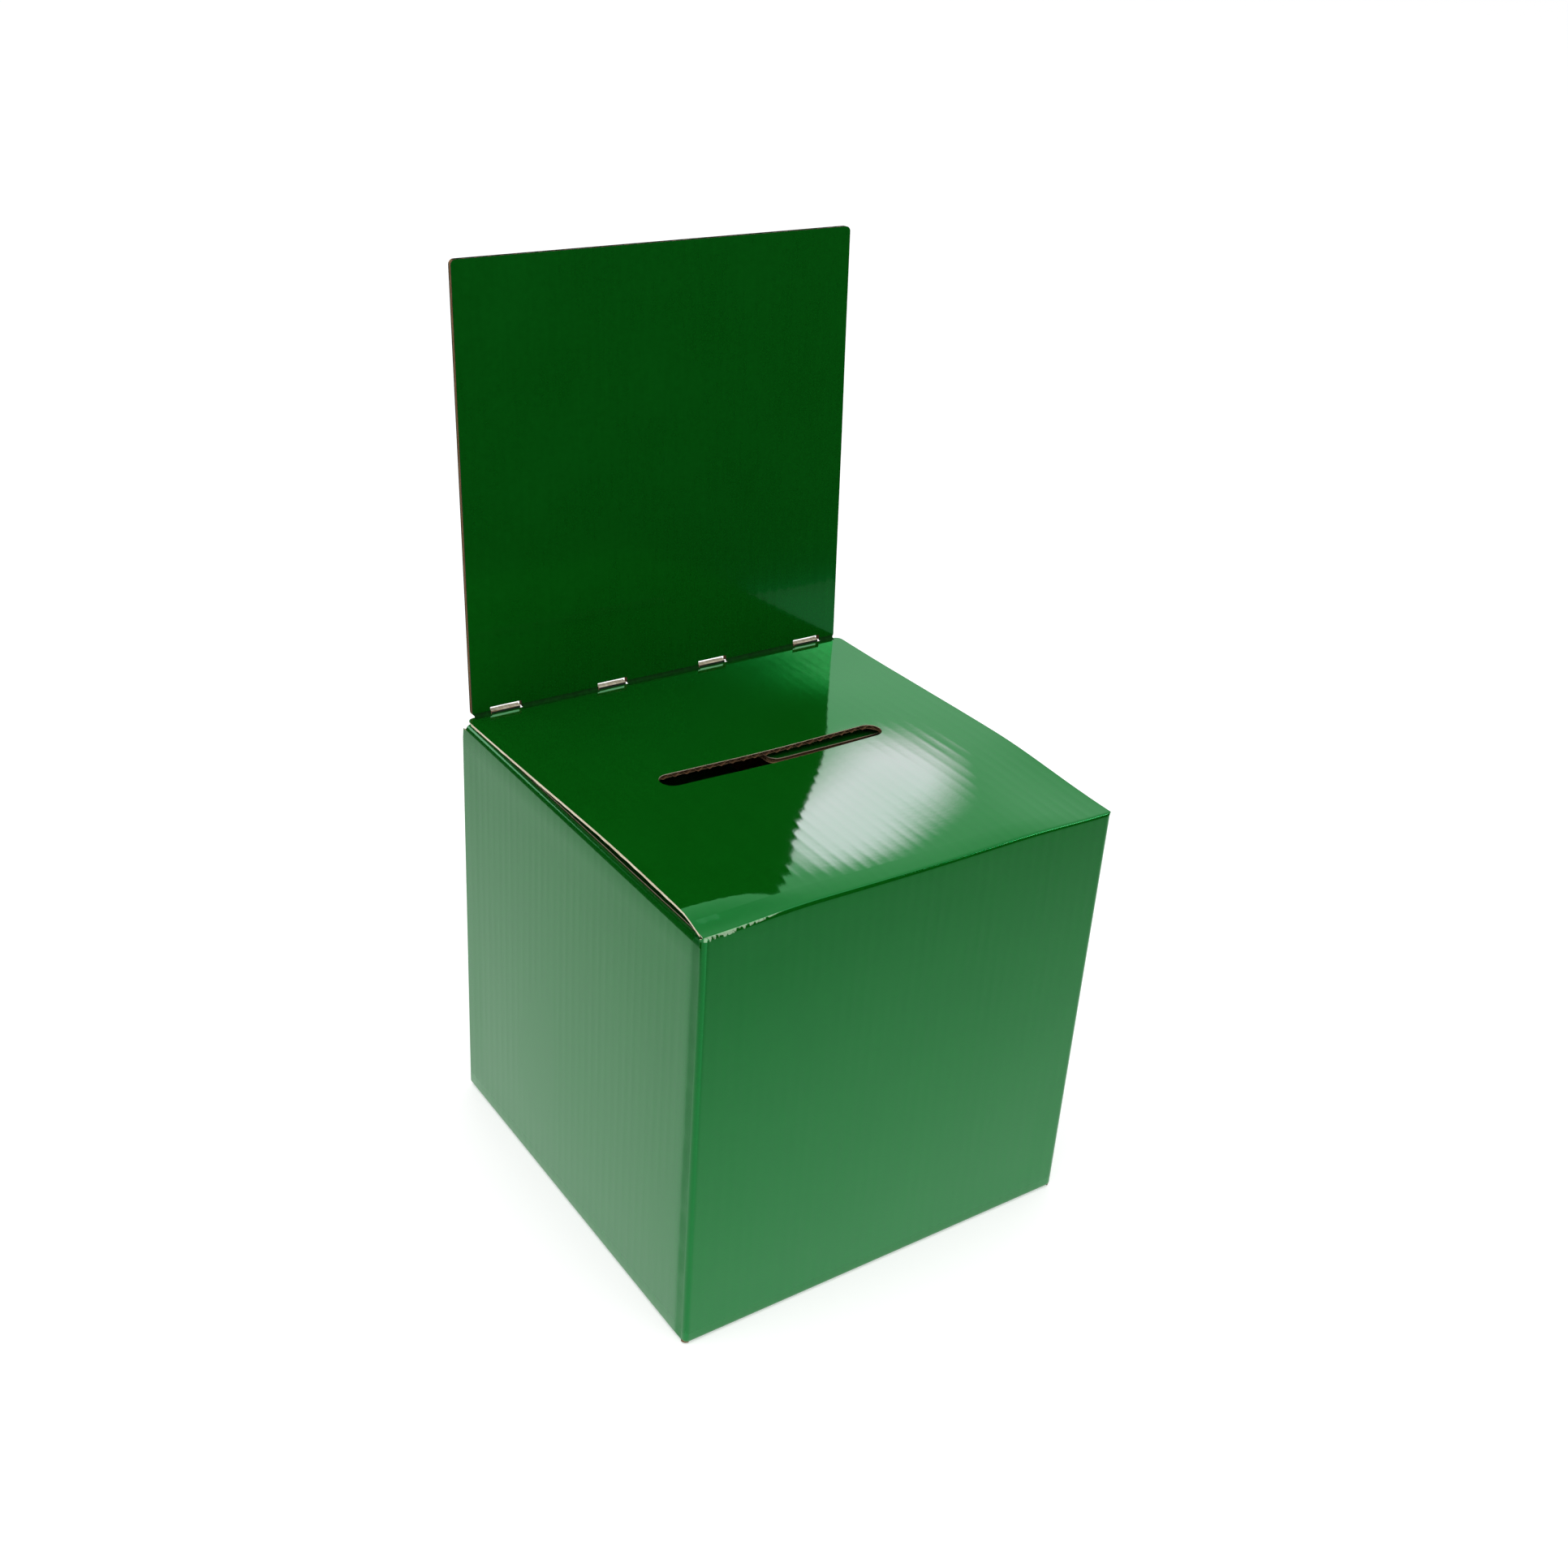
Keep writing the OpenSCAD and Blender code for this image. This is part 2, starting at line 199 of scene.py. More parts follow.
def sheet_mesh(us, vs, low, high):
    """Closed flat sheet over the lines us and vs, between two levels."""
    nu, nv = len(us), len(vs)
    u, v = np.meshgrid(us, vs)
    top = np.stack([u, v, np.full_like(u, high)], -1).reshape(-1, 3)
    bottom = np.stack([u, v, np.full_like(u, low)], -1).reshape(-1, 3)
    at = np.arange(nu * nv).reshape(nv, nu)
    under = at + nu * nv
    quads = [
        (at[:-1, :-1], at[:-1, 1:], at[1:, 1:], at[1:, :-1]),
        (under[:-1, :-1], under[1:, :-1], under[1:, 1:], under[:-1, 1:]),
        (at[:-1, 0], at[1:, 0], under[1:, 0], under[:-1, 0]),
        (at[1:, -1], at[:-1, -1], under[:-1, -1], under[1:, -1]),
        (at[0, 1:], at[0, :-1], under[0, :-1], under[0, 1:]),
        (at[-1, :-1], at[-1, 1:], under[-1, 1:], under[-1, :-1]),
    ]
    faces = np.concatenate([np.stack(q, -1).reshape(-1, 4) for q in quads])
    mesh = bpy.data.meshes.new("sheet")
    mesh.from_pydata(np.concatenate([top, bottom]).tolist(), [], faces.tolist())
    return mesh


def prism_mesh(outline, low, high):
    """Closed prism over an anticlockwise outline."""
    n = len(outline)
    points = [(u, v, low) for u, v in outline] + [(u, v, high) for u, v in outline]
    faces = [tuple(range(n - 1, -1, -1)), tuple(range(n, 2 * n))]
    faces += [(i, (i + 1) % n, n + (i + 1) % n, n + i) for i in range(n)]
    mesh = bpy.data.meshes.new("prism")
    mesh.from_pydata(points, [], faces)
    return mesh


def rectangle(u0, u1, v0, v1):
    return [(u0, v0), (u1, v0), (u1, v1), (u0, v1)]


def corner_cut(u, v, side_u, side_v, radius, steps=8):
    """Outline of what a rounded corner takes away at (u, v); the sides say which way is outwards."""
    middle_u, middle_v = u - side_u * radius, v - side_v * radius
    arc = [(middle_u + side_u * radius * math.cos(t), middle_v + side_v * radius * math.sin(t))
           for t in (i * math.pi / 2 / steps for i in range(steps + 1))]
    far_u, far_v = u + side_u * CUT_OVER, v + side_v * CUT_OVER
    outline = arc + [(arc[-1][0], far_v), (far_u, far_v), (far_u, arc[0][1])]
    area = sum(a[0] * b[1] - b[0] * a[1] for a, b in zip(outline, outline[1:] + outline[:1]))
    return outline if area > 0 else outline[::-1]


def lid_corners(half):
    """What the rounded rear corners take away from a sheet of the lid with that half width."""
    return [corner_cut(side * half, LID_REAR, side, 1, LID_CORNER_R) for side in (-1, 1)]


def between_tabs(start, end, width):
    """The stretches from a start to an end that a gap of that width at each lock tab leaves."""
    edges = [start]
    for tab in TAB_PLACES:
        edges += [tab - width / 2, tab + width / 2]
    edges.append(end)
    return list(zip(edges[::2], edges[1::2]))


def slot_outline(grown=0.0, steps=24):
    """The ballot slot, with round ends."""
    r = SLOT_WIDTH / 2 + grown
    reach = SLOT_LENGTH / 2 + grown - r
    right = [(reach + r * math.cos(t), SLOT_Y + r * math.sin(t))
             for t in (-math.pi / 2 + i * math.pi / steps for i in range(steps + 1))]
    return right + [(-u, 2 * SLOT_Y - v) for u, v in right]


def cut(mesh, outlines, low, high):
    """The mesh with a prism over each outline taken out of it."""
    for outline in outlines:
        body = bpy.data.objects.new("body", mesh)
        cutter = bpy.data.objects.new("cutter", prism_mesh(outline, low - CUT_THROUGH, high + CUT_THROUGH))
        for obj in (body, cutter):
            bpy.context.scene.collection.objects.link(obj)
        modifier = body.modifiers.new("cut", "BOOLEAN")
        modifier.operation = "DIFFERENCE"
        modifier.solver = "MANIFOLD"
        modifier.object = cutter
        depsgraph = bpy.context.evaluated_depsgraph_get()
        mesh = bpy.data.meshes.new_from_object(body.evaluated_get(depsgraph))
        bpy.data.objects.remove(body)
        bpy.data.objects.remove(cutter)
    return mesh


def finish_mesh(mesh):
    """Smooth shading with sharp edges at the cuts, and points that fell together merged."""
    bm = bmesh.new()
    bm.from_mesh(mesh)
    bmesh.ops.remove_doubles(bm, verts=bm.verts, dist=SAME_POINT)
    for face in bm.faces:
        face.smooth = True
    for edge in bm.edges:
        if len(edge.link_faces) == 2 and edge.calc_face_angle(0) > SHARP_ANGLE:
            edge.smooth = False
    bm.to_mesh(mesh)
    bm.free()


def panel_piece(name, us, vs, low, high, place, outlines, materials):
    """Sheet over the lines us and vs, cut to its outline and put in its place.

    Faces on the high side take the first material, and the back and the cut ends the second.
    """
    mesh = cut(sheet_mesh(us, vs, low, high), outlines, low, high)
    mesh.materials.clear()
    for material in materials:
        mesh.materials.append(material)
    if len(materials) > 1:
        for polygon in mesh.polygons:
            polygon.material_index = 0 if polygon.normal.z > 0.5 else 1
    points = np.empty(len(mesh.vertices) * 3)
    mesh.vertices.foreach_get("co", points)
    placed = place(*points.reshape(-1, 3).T)
    mesh.vertices.foreach_set("co", np.stack(placed, -1).ravel())
    mesh.update()
    finish_mesh(mesh)
    piece = bpy.data.objects.new(name, mesh)
    bpy.context.scene.collection.objects.link(piece)
    return piece


def joined(name, pieces, material):
    """One object of all the pieces, which it takes the place of."""
    bm = bmesh.new()
    for piece in pieces:
        bm.from_mesh(piece.data)
        bpy.data.objects.remove(piece)
    mesh = bpy.data.meshes.new(name)
    bm.to_mesh(mesh)
    bm.free()
    mesh.materials.append(material)
    whole = bpy.data.objects.new(name, mesh)
    bpy.context.scene.collection.objects.link(whole)
    return whole


def lines(start, end, step):
    """Evenly spaced grid lines, about that far apart."""
    count = max(1, round((end - start) / step))
    return np.linspace(start, end, count + 1)


def across(start, end, folds=(False, False)):
    """Grid lines across the flutes, with finer ones round the fold at each end that has one."""
    parts = [lines(start, end, FLUTE / COLUMNS)]
    if folds[0]:
        parts.insert(0, lines(start - FOLD_ARC, start, FOLD_ARC / FOLD_STEPS)[:-1])
    if folds[1]:
        parts.append(lines(end, end + FOLD_ARC, FOLD_ARC / FOLD_STEPS)[1:])
    return np.concatenate(parts)


def along(start, end, fold_low=False, fold_high=False):
    """Grid lines along the flutes."""
    parts = [lines(start, end, ROW_STEP)]
    if fold_low:
        parts.insert(0, lines(start - FOLD_ARC, start, FOLD_ARC / FOLD_STEPS)[:-1])
    if fold_high:
        parts.append(lines(end, end + FOLD_ARC, FOLD_ARC / FOLD_STEPS)[1:])
    return np.concatenate(parts)


# Shape of the sheet: washboard over the flutes, and the lid's crown

# Washboard: shares of its main wave and of the wave twice as fine, its depth on the walls and the header,
# the lid's depth everywhere and what the lid's front and right add, and how much each depth varies
MAIN_WAVE = 0.8
FINE_WAVE = 0.2
WALL_RIPPLE = 0.012 * MM
HEADER_RIPPLE = 0.006 * MM
LID_RIPPLE = 0.0020 * MM
LID_RIPPLE_FRONT = 0.007 * MM
LID_RIPPLE_RIGHT = 0.006 * MM
RIPPLE_CHANGE = 0.4
LID_RIPPLE_CHANGE = 0.45

# Slow swells of the panels
WALL_SWELL = 0.10 * MM
WALL_SWELL_END = 20 * MM
HEADER_SWELL = 0.12 * MM


def washboard(u, start, end, depth):
    """How far the liner stands out over the flutes: narrow ridges at their crests, wider hollows between."""
    count = max(1, round((end - start) / FLUTE))
    phase = 2 * math.pi * (u - start) / ((end - start) / count)
    return depth * (MAIN_WAVE * np.cos(phase) + FINE_WAVE * np.cos(2 * phase))


# The lid's bow, along its depth
CROWN_Y = np.array([-114, -111, -107, -102, -95, -75, -40, -15, 5, 25, 45, 70, 90, 104, 111]) * MM
CROWN_Z = np.array([2.0, 2.55, 3.15, 3.6, 3.85, 4.2, 4.35, 3.9, 3.3, 2.5, 1.75, 0.85, 0.35, 0.1, 0.0]) * MM

# The bow is lower along the lid's middle: by what share, where, and how wide
CROWN_DIP = 0.50
CROWN_DIP_X = 10 * MM
CROWN_DIP_REACH = 58 * MM

# The bow grows from nothing over these distances from the sides and from the front's two ends
CROWN_SIDE_REACH = 60 * MM
CROWN_FRONT_REACH_LEFT = 18 * MM
CROWN_FRONT_REACH_RIGHT = 90 * MM

# The bow is a little lower towards the right side, and sways a little everywhere
CROWN_RIGHT_LOSS = 0.25
CROWN_SWAY = 0.06 * MM


def crown_profile(y):
    """Height of the lid's bow along its depth, a smooth curve through the crown's heights."""
    slopes = np.gradient(CROWN_Z, CROWN_Y)
    i = np.clip(np.searchsorted(CROWN_Y, y) - 1, 0, len(CROWN_Y) - 2)
    span = CROWN_Y[i + 1] - CROWN_Y[i]
    t = np.clip((y - CROWN_Y[i]) / span, 0, 1)
    h00, h10 = 2 * t**3 - 3 * t**2 + 1, t**3 - 2 * t**2 + t
    h01, h11 = 3 * t**2 - 2 * t**3, t**3 - t**2
    return h00 * CROWN_Z[i] + h10 * span * slopes[i] + h01 * CROWN_Z[i + 1] + h11 * span * slopes[i + 1]


def crown(x, y):
    """Height of the lid's bow, which is pinned down at the two front corners."""
    from_side = (LID_HALF - np.abs(x)) / CROWN_SIDE_REACH
    growth = (CROWN_FRONT_REACH_RIGHT - CROWN_FRONT_REACH_LEFT) * ramp(x, -20 * MM, 114 * MM)
    from_front = (y + BOX_HALF) / (CROWN_FRONT_REACH_LEFT + growth)
    pinned = smooth(np.sqrt(np.clip(from_side, 0, None)**2 + np.clip(from_front, 0, None)**2))
    low_right = 1 - CROWN_RIGHT_LOSS * ramp(x, 30 * MM, 114 * MM)
    dip = low_right - CROWN_DIP * np.exp(-((x - CROWN_DIP_X) / CROWN_DIP_REACH)**2)
    sway = CROWN_SWAY * uneven(x, y, 90 * MM, SEEDS["crown"]) * smooth((LID_REAR - y) / (40 * MM))
    return (crown_profile(y) * dip + sway) * pinned


def lid_surface(x, y):
    """Height of the lid's printed face over its flat place."""
    towards_front = ramp(y, 30 * MM, -100 * MM)
    on_right = ramp(x, 30 * MM, 90 * MM) * ramp(y, 70 * MM, 10 * MM)
    depth = LID_RIPPLE + LID_RIPPLE_FRONT * towards_front + LID_RIPPLE_RIGHT * on_right
    change = 1 + LID_RIPPLE_CHANGE * uneven(x, y, 30 * MM, SEEDS["lid_ripple"])
    return crown(x, y) + washboard(x, -LID_HALF, LID_HALF, depth) * change


def place_lid(u, v, w):
    return u, v, LID_UNDER + w + lid_surface(u, v)


def wall_relief(u, v, u_folds, v_folds, seed):
    """How far an upright panel's face stands out: its washboard and a slow swell that ends at the folds."""
    swell = WALL_SWELL * (uneven(u, v, 120 * MM, seed) - 1)
    for place, low, high in ((u, *u_folds), (v, *v_folds)):
        swell = swell * smooth((place - low) / WALL_SWELL_END) * smooth((high - place) / WALL_SWELL_END)
    ripple = washboard(u, *u_folds, WALL_RIPPLE) * (1 + RIPPLE_CHANGE * uneven(u, v, 40 * MM, seed + 1))
    return np.minimum(swell + ripple - WALL_RIPPLE, 0)


def crushed(v):
    """How far the board is crushed at the front left fold, at that height."""
    return CRUSH_DEPTH * smooth((CREASE_LOW - v) / CRUSH_FADE)


def place_wall(turn, u_folds, v_folds, seed, crush_at_low=False, crush_at_high=False, lean_at_top=False):
    """Placing function of an upright panel that is flat between its folds and rounds each of them."""
    cos_turn, sin_turn = round(math.cos(turn)), round(math.sin(turn))

    def place(u, v, w):
        uc, vc = np.clip(u, *u_folds), np.clip(v, *v_folds)
        a, e = (u - uc) / BOARD, (v - vc) / BOARD
        facing = np.cos(a) * np.cos(e)
        out = w + wall_relief(uc, vc, u_folds, v_folds, seed) * facing**2
        if crush_at_low:
            out = out - crushed(vc) * np.where(a < 0, np.sin(a)**2, 0) * np.cos(e)**2
        if crush_at_high:
            out = out - crushed(vc) * (1 - smooth((u_folds[1] - uc) / CRUSH_REACH)) * np.cos(e)**2
        if lean_at_top:
            out = out - LEAN_DEPTH * np.clip(1 - (v_folds[1] - vc) / LEAN_REACH, 0, 1)**2 * facing**2
        side = uc + out * np.sin(a) * np.cos(e)
        reach = INNER_HALF + out * facing
        x = side * cos_turn + reach * sin_turn
        y = side * sin_turn - reach * cos_turn
        return x, y, vc + out * np.sin(e)

    return place


def place_header(u, v, w):
    """Places the header's sheet on its lean, with its washboard and a swell that ends at the crease."""
    change = 1 + RIPPLE_CHANGE * uneven(u, v, 50 * MM, SEEDS["header_ripple"])
    ripple = washboard(u, -HEADER_HALF, HEADER_HALF, HEADER_RIPPLE) * change
    swell = HEADER_SWELL * uneven(u, v, 140 * MM, SEEDS["header_swell"]) * smooth(v / (50 * MM))
    back = BOARD - w - swell - ripple
    y = LID_REAR + back * math.cos(HEADER_LEAN) + v * math.sin(HEADER_LEAN)
    z = LID_TOP - back * math.sin(HEADER_LEAN) + v * math.cos(HEADER_LEAN)
    return u, y, z


# Materials


class Nodes:
    """Short names for building a material's node tree."""

    def __init__(self, name, material=None):
        self.material = material or bpy.data.materials.new(name)
        self.material.use_nodes = True
        self.tree = self.material.node_tree
        self.shader = self.tree.nodes["Principled BSDF"]
        self.coords = self.tree.nodes.new("ShaderNodeTexCoord")

    def new(self, kind, inputs=None, **settings):
        node = self.tree.nodes.new(kind)
        for key, value in settings.items():
            setattr(node, key, value)
        for key, value in (inputs or {}).items():
            self.set(node.inputs[key], value)
        return node

    def set(self, socket, value):
        if isinstance(value, bpy.types.NodeSocket):
            self.tree.links.new(value, socket)
        else:
            socket.default_value = value

    def noise(self, scale, detail=2.0, stretch=(1, 1, 1), roughness=0.5):
        mapping = self.new("ShaderNodeMapping", {"Vector": self.coords.outputs["Object"], "Scale": stretch})
        return self.new("ShaderNodeTexNoise", {
            "Vector": mapping.outputs[0], "Scale": scale, "Detail": detail, "Roughness": roughness,
        }).outputs["Fac"]

    def place(self):
        """The x, y and z of the point in the piece's own frame."""
        return self.new("ShaderNodeSeparateXYZ", {0: self.coords.outputs["Object"]}).outputs

    def math(self, operation, a, b=0.0):
        return self.new("ShaderNodeMath", {0: a, 1: b}, operation=operation).outputs[0]

    def add(self, *shares):
        """Sum of pairs of a value and its share."""
        total = 0.0
        for value, share in shares:
            total = self.math("ADD", self.math("MULTIPLY", value, share), total)
        return total

    def remap(self, value, low, high, to_low=0.0, to_high=1.0):
        return self.new("ShaderNodeMapRange", {
            "Value": value, "From Min": low, "From Max": high, "To Min": to_low, "To Max": to_high,
        }, interpolation_type="SMOOTHSTEP").outputs["Result"]

    def mix(self, factor, a, b):
        node = self.new("ShaderNodeMix", {"Factor": factor}, data_type="RGBA")
        colours = [s for s in node.inputs if s.type == "RGBA"]
        self.set(colours[0], a)
        self.set(colours[1], b)
        return [s for s in node.outputs if s.type == "RGBA"][0]

    def bump(self, height, distance, normal=None):
        inputs = {"Height": height, "Distance": distance}
        if normal is not None:
            inputs["Normal"] = normal
        return self.new("ShaderNodeBump", inputs).outputs["Normal"]

    def finish(self, **inputs):
        for key, value in inputs.items():
            self.set(self.shader.inputs[key.replace("_", " ")], value)
        return self.material


GREEN_LIGHT = (0.0024, 0.086, 0.0045, 1)
GREEN_DARK = (0.0016, 0.070, 0.0030, 1)
CLAY_WHITE = (0.74, 0.68, 0.53, 1)
CLAY_SHADE = (0.60, 0.50, 0.34, 1)
CREAM = (0.86, 0.80, 0.62, 1)
# Darker green of the flaps' printed faces: painted shade of flaps that lie out of the light
FLAP_GREEN_PAINTED_SHADE = (0.0016, 0.050, 0.003, 1)
# Near-black green: the header's dark rim, and painted shade on the lock tabs' fronts
DARK_RIM_AND_PAINTED_SHADE = (0.003, 0.012, 0.004, 1)
DARK_RIM_LIGHTER = (0.010, 0.040, 0.012, 1)
WORN_COATING = (0.36, 0.52, 0.34, 1)
# Darker green of the pressed folds: painted shade in the crease behind the lid and at the back panel's cut
# ends
FOLD_PAINTED_SHADE_DARK = (0.0012, 0.030, 0.002, 1)
FOLD_PAINTED_SHADE_LIGHT = (0.002, 0.045, 0.003, 1)
KRAFT = (0.36, 0.21, 0.10, 1)
KRAFT_LIGHT = (0.46, 0.29, 0.155, 1)
MEDIUM_BROWN = (0.24, 0.13, 0.058, 1)
MEDIUM_DARK = (0.15, 0.075, 0.032, 1)

# The print's mirror has the ink's own green; a clear coat lies over it
PRINT_TINT = (0.0, 1.0, 0.25, 1)
PRINT_IOR = 2.1
COAT = 0.32
COAT_IOR = 1.5
FLAP_COAT = 0.06

# Surfaces of the coated papers: height of the orange peel and of the fibres, roughness of coat and print
SATIN = {"peel": 0.010 * MM, "fibre_depth": 0.010 * MM, "coat_roughness": 0.05, "roughness": 0.16}
SMOOTH = {"peel": 0.003 * MM, "fibre_depth": 0.003 * MM, "coat_roughness": 0.03, "roughness": 0.12}
MIRROR = {"peel": 0.007 * MM, "fibre_depth": 0.004 * MM, "coat_roughness": 0.02, "roughness": 0.045}

# Noise scales of the fibres of a coated paper, and stretches that draw streaks out along one axis
FIBRE = 1500
STREAKS_UP = (520, 520, 16)
STREAKS_BACK = (520, 16, 520)

# Roughness where the coating is scuffed, and the share of the coat that is left there
SCUFFED = 0.45
SCUFFED_COAT = 0.1

# Width of the dark rim round the header's cut edge
RIM = 0.25 * MM

# Cracked coating along the front crease, from the left corner: where it starts and ends, how far its
# teeth reach down, how far it reaches back, and how soft its outline is
WORN_START = 3 * MM
WORN_END = 46 * MM
WORN_TEETH = (0.25 * MM, 2.2 * MM)
WORN_BACK = (0.7 * MM, 1.1 * MM)
WORN_SOFT = 0.15 * MM

# Heights over the lid between which a lock tab's end turns from its front, darkened with painted shade, to
# its cut top
TAB_SHADE = (0.95 * MM, 1.15 * MM)


def green_colour(n, streaks):
    """Printed green with faint mottle, and fainter streaks along the flutes."""
    mottle = n.noise(330, 4.0, roughness=0.6)
    cloud = n.noise(28, 2.0)
    lined = n.noise(1.0, 2.0, stretch=streaks)
    mixed = n.add((mottle, 0.45), (cloud, 0.3), (lined, 0.25))
    return n.mix(n.remap(mixed, 0.26, 0.74), GREEN_DARK, GREEN_LIGHT)


def coated_green(name, streaks, peel, fibre_depth, coat_roughness, roughness, scuffed_fold=False):
    """Glossy coated liner: green print under a clear coat, with paper fibre and a soft orange peel."""
    n = Nodes(name)
    fibre = n.noise(FIBRE, 3.0, roughness=0.7)
    swirl = n.noise(260, 2.0)
    coat_normal = n.bump(n.add((swirl, 1.0), (fibre, 0.12)), peel)
    base_normal = n.bump(fibre, fibre_depth, normal=coat_normal)
    coat_weight = COAT
    if scuffed_fold:
        scuff_end, scuff_start = -BOX_HALF + 0.7 * CRUSH_REACH, -BOX_HALF + 1.1 * CRUSH_REACH
        scuff = n.remap(n.place()[1], scuff_end, scuff_start, 1.0, 0.0)
        scuff = n.math("MULTIPLY", scuff, n.remap(n.noise(60, 2.0), 0.3, 0.7, 0.7, 1.0))
        coat_weight = n.remap(scuff, 0, 1, COAT, SCUFFED_COAT * COAT)
        roughness = n.remap(scuff, 0, 1, roughness, SCUFFED)
    return n.finish(
        Base_Color=green_colour(n, streaks), IOR=PRINT_IOR, Specular_Tint=PRINT_TINT, Roughness=roughness,
        Normal=base_normal, Coat_Weight=coat_weight, Coat_Roughness=coat_roughness, Coat_IOR=COAT_IOR,
        Coat_Normal=coat_normal,
    )


def worn_crease(name, streaks):
    """Coated green whose coating has cracked along the crease, from the left corner."""
    material = coated_green(name, streaks, **MIRROR)
    n = Nodes(name, material)
    x, y, z = n.place()
    rise = n.remap(x, -BOX_HALF, -BOX_HALF + CROWN_SIDE_REACH, 0.0, CROWN_Z[0])
    below = n.math("SUBTRACT", n.math("ADD", rise, LID_TOP), z)
    teeth = n.remap(n.noise(1.0, 2.0, stretch=(620, 90, 90)), 0.36, 0.60, *WORN_TEETH)
    fading = n.remap(x, -BOX_HALF + WORN_START, -BOX_HALF + WORN_END, 1.0, 0.0)
    reach = n.math("MULTIPLY", teeth, fading)
    low = n.remap(n.math("SUBTRACT", reach, below), -WORN_SOFT, WORN_SOFT)
    high = n.remap(y, -BOX_HALF + WORN_BACK[0], -BOX_HALF + WORN_BACK[1], 1.0, 0.0)
    worn = n.math("MULTIPLY", low, high)
    worn = n.math("MULTIPLY", worn, n.remap(fading, 0.0, 0.12))
    worn = n.math("MULTIPLY", worn, n.remap(n.noise(900, 3.0), 0.3, 0.5, 0.35, 0.85))
    base = n.shader.inputs["Base Color"]
    n.set(base, n.mix(worn, base.links[0].from_socket, WORN_COATING))
    return material


def header_rim(n):
    """1 on the header's outermost paper, at its sides and top, and 0 elsewhere."""
    x, y, z = n.place()
    at_side = n.math("GREATER_THAN", n.math("ABSOLUTE", x), HEADER_HALF - RIM)
    lean_cos, lean_sin = math.cos(HEADER_LEAN), math.sin(HEADER_LEAN)
    height = n.math("ADD", n.math("MULTIPLY", z, lean_cos), n.math("MULTIPLY", y, lean_sin))
    top = LID_TOP * lean_cos + LID_REAR * lean_sin + HEADER_HEIGHT
    return n.math("MAXIMUM", at_side, n.math("GREATER_THAN", height, top - RIM))


def fibrous(name, dark, light, streaks, roughness=0.85, bump=0.05 * MM, dark_rim=False, **shader):
    """Uncoated paper with fibres, specks and slow changes of shade."""
    n = Nodes(name)
    fibre = n.noise(1.0, 4.0, stretch=streaks, roughness=0.65)
    fleck = n.noise(900, 3.0, roughness=0.7)
    cloud = n.noise(40, 2.0)
    mixed = n.add((fibre, 0.5), (fleck, 0.3), (cloud, 0.2))
    colour = n.mix(n.remap(mixed, 0.38, 0.62), dark, light)
    if dark_rim:
        colour = n.mix(header_rim(n), colour, n.mix(fleck, DARK_RIM_AND_PAINTED_SHADE, DARK_RIM_LIGHTER))
    return n.finish(Base_Color=colour, Roughness=roughness, Normal=n.bump(fleck, bump), **shader)


def painted_shade_front(material):
    """Paints shade on the lock tabs' fronts, darkening the material below their cut tops."""
    n = Nodes(material.name, material)
    top = n.remap(n.place()[2], LID_TOP + TAB_SHADE[0], LID_TOP + TAB_SHADE[1])
    base = n.shader.inputs["Base Color"]
    n.set(base, n.mix(top, DARK_RIM_AND_PAINTED_SHADE, base.links[0].from_socket))
    return material


def coated_flap(name, outward):
    """A flap's outer liner: green on its printed face, darker than the print as painted shade, and bare
    clay-coated paper at its cut ends and back.
    """
    n = Nodes(name)
    normal = n.coords.outputs["Normal"]
    facing = n.new("ShaderNodeVectorMath", {0: normal, 1: outward}, operation="DOT_PRODUCT")
    printed = n.math("GREATER_THAN", facing.outputs["Value"], 0.5)
    paper = n.mix(n.noise(700, 3.0), CLAY_SHADE, CLAY_WHITE)
    # Painted shade: the printed face takes the darker flap green
    colour = n.mix(printed, paper, FLAP_GREEN_PAINTED_SHADE)
    fibre = n.noise(FIBRE, 3.0, roughness=0.7)
    return n.finish(
        Base_Color=colour, Roughness=n.remap(printed, 0, 1, 0.8, 0.3),
        Coat_Weight=n.math("MULTIPLY", printed, FLAP_COAT), Coat_Roughness=0.2,
        Specular_Tint=(0.05, 1.0, 0.25, 1), Specular_IOR_Level=0.25,
        Normal=n.bump(fibre, 0.03 * MM),
    )


green_wall = coated_green("coated_green_upright", STREAKS_UP, **SATIN)
green_left = coated_green("coated_green_left", STREAKS_UP, **SATIN, scuffed_fold=True)
green_header = coated_green("coated_green_header", STREAKS_UP, **SMOOTH)
green_lid = coated_green("coated_green_lid", STREAKS_BACK, **MIRROR)
# Matte as pressed board, and darker than the print as painted shade in the creases
green_fold_painted_shade = fibrous("pressed_green_fold_painted_shade", FOLD_PAINTED_SHADE_DARK, FOLD_PAINTED_SHADE_LIGHT, STREAKS_UP, 0.6, 0.02 * MM,
                     Specular_IOR_Level=0.05)
green_crease = worn_crease("coated_green_crease", STREAKS_BACK)
clay_edge = fibrous("clay_coated_edge", CLAY_SHADE, CLAY_WHITE, (900, 900, 900), 0.7, 0.03 * MM)
pressed_edge = fibrous("pressed_board_edge", CLAY_SHADE, CREAM, (700, 60, 500), 0.75, 0.05 * MM)
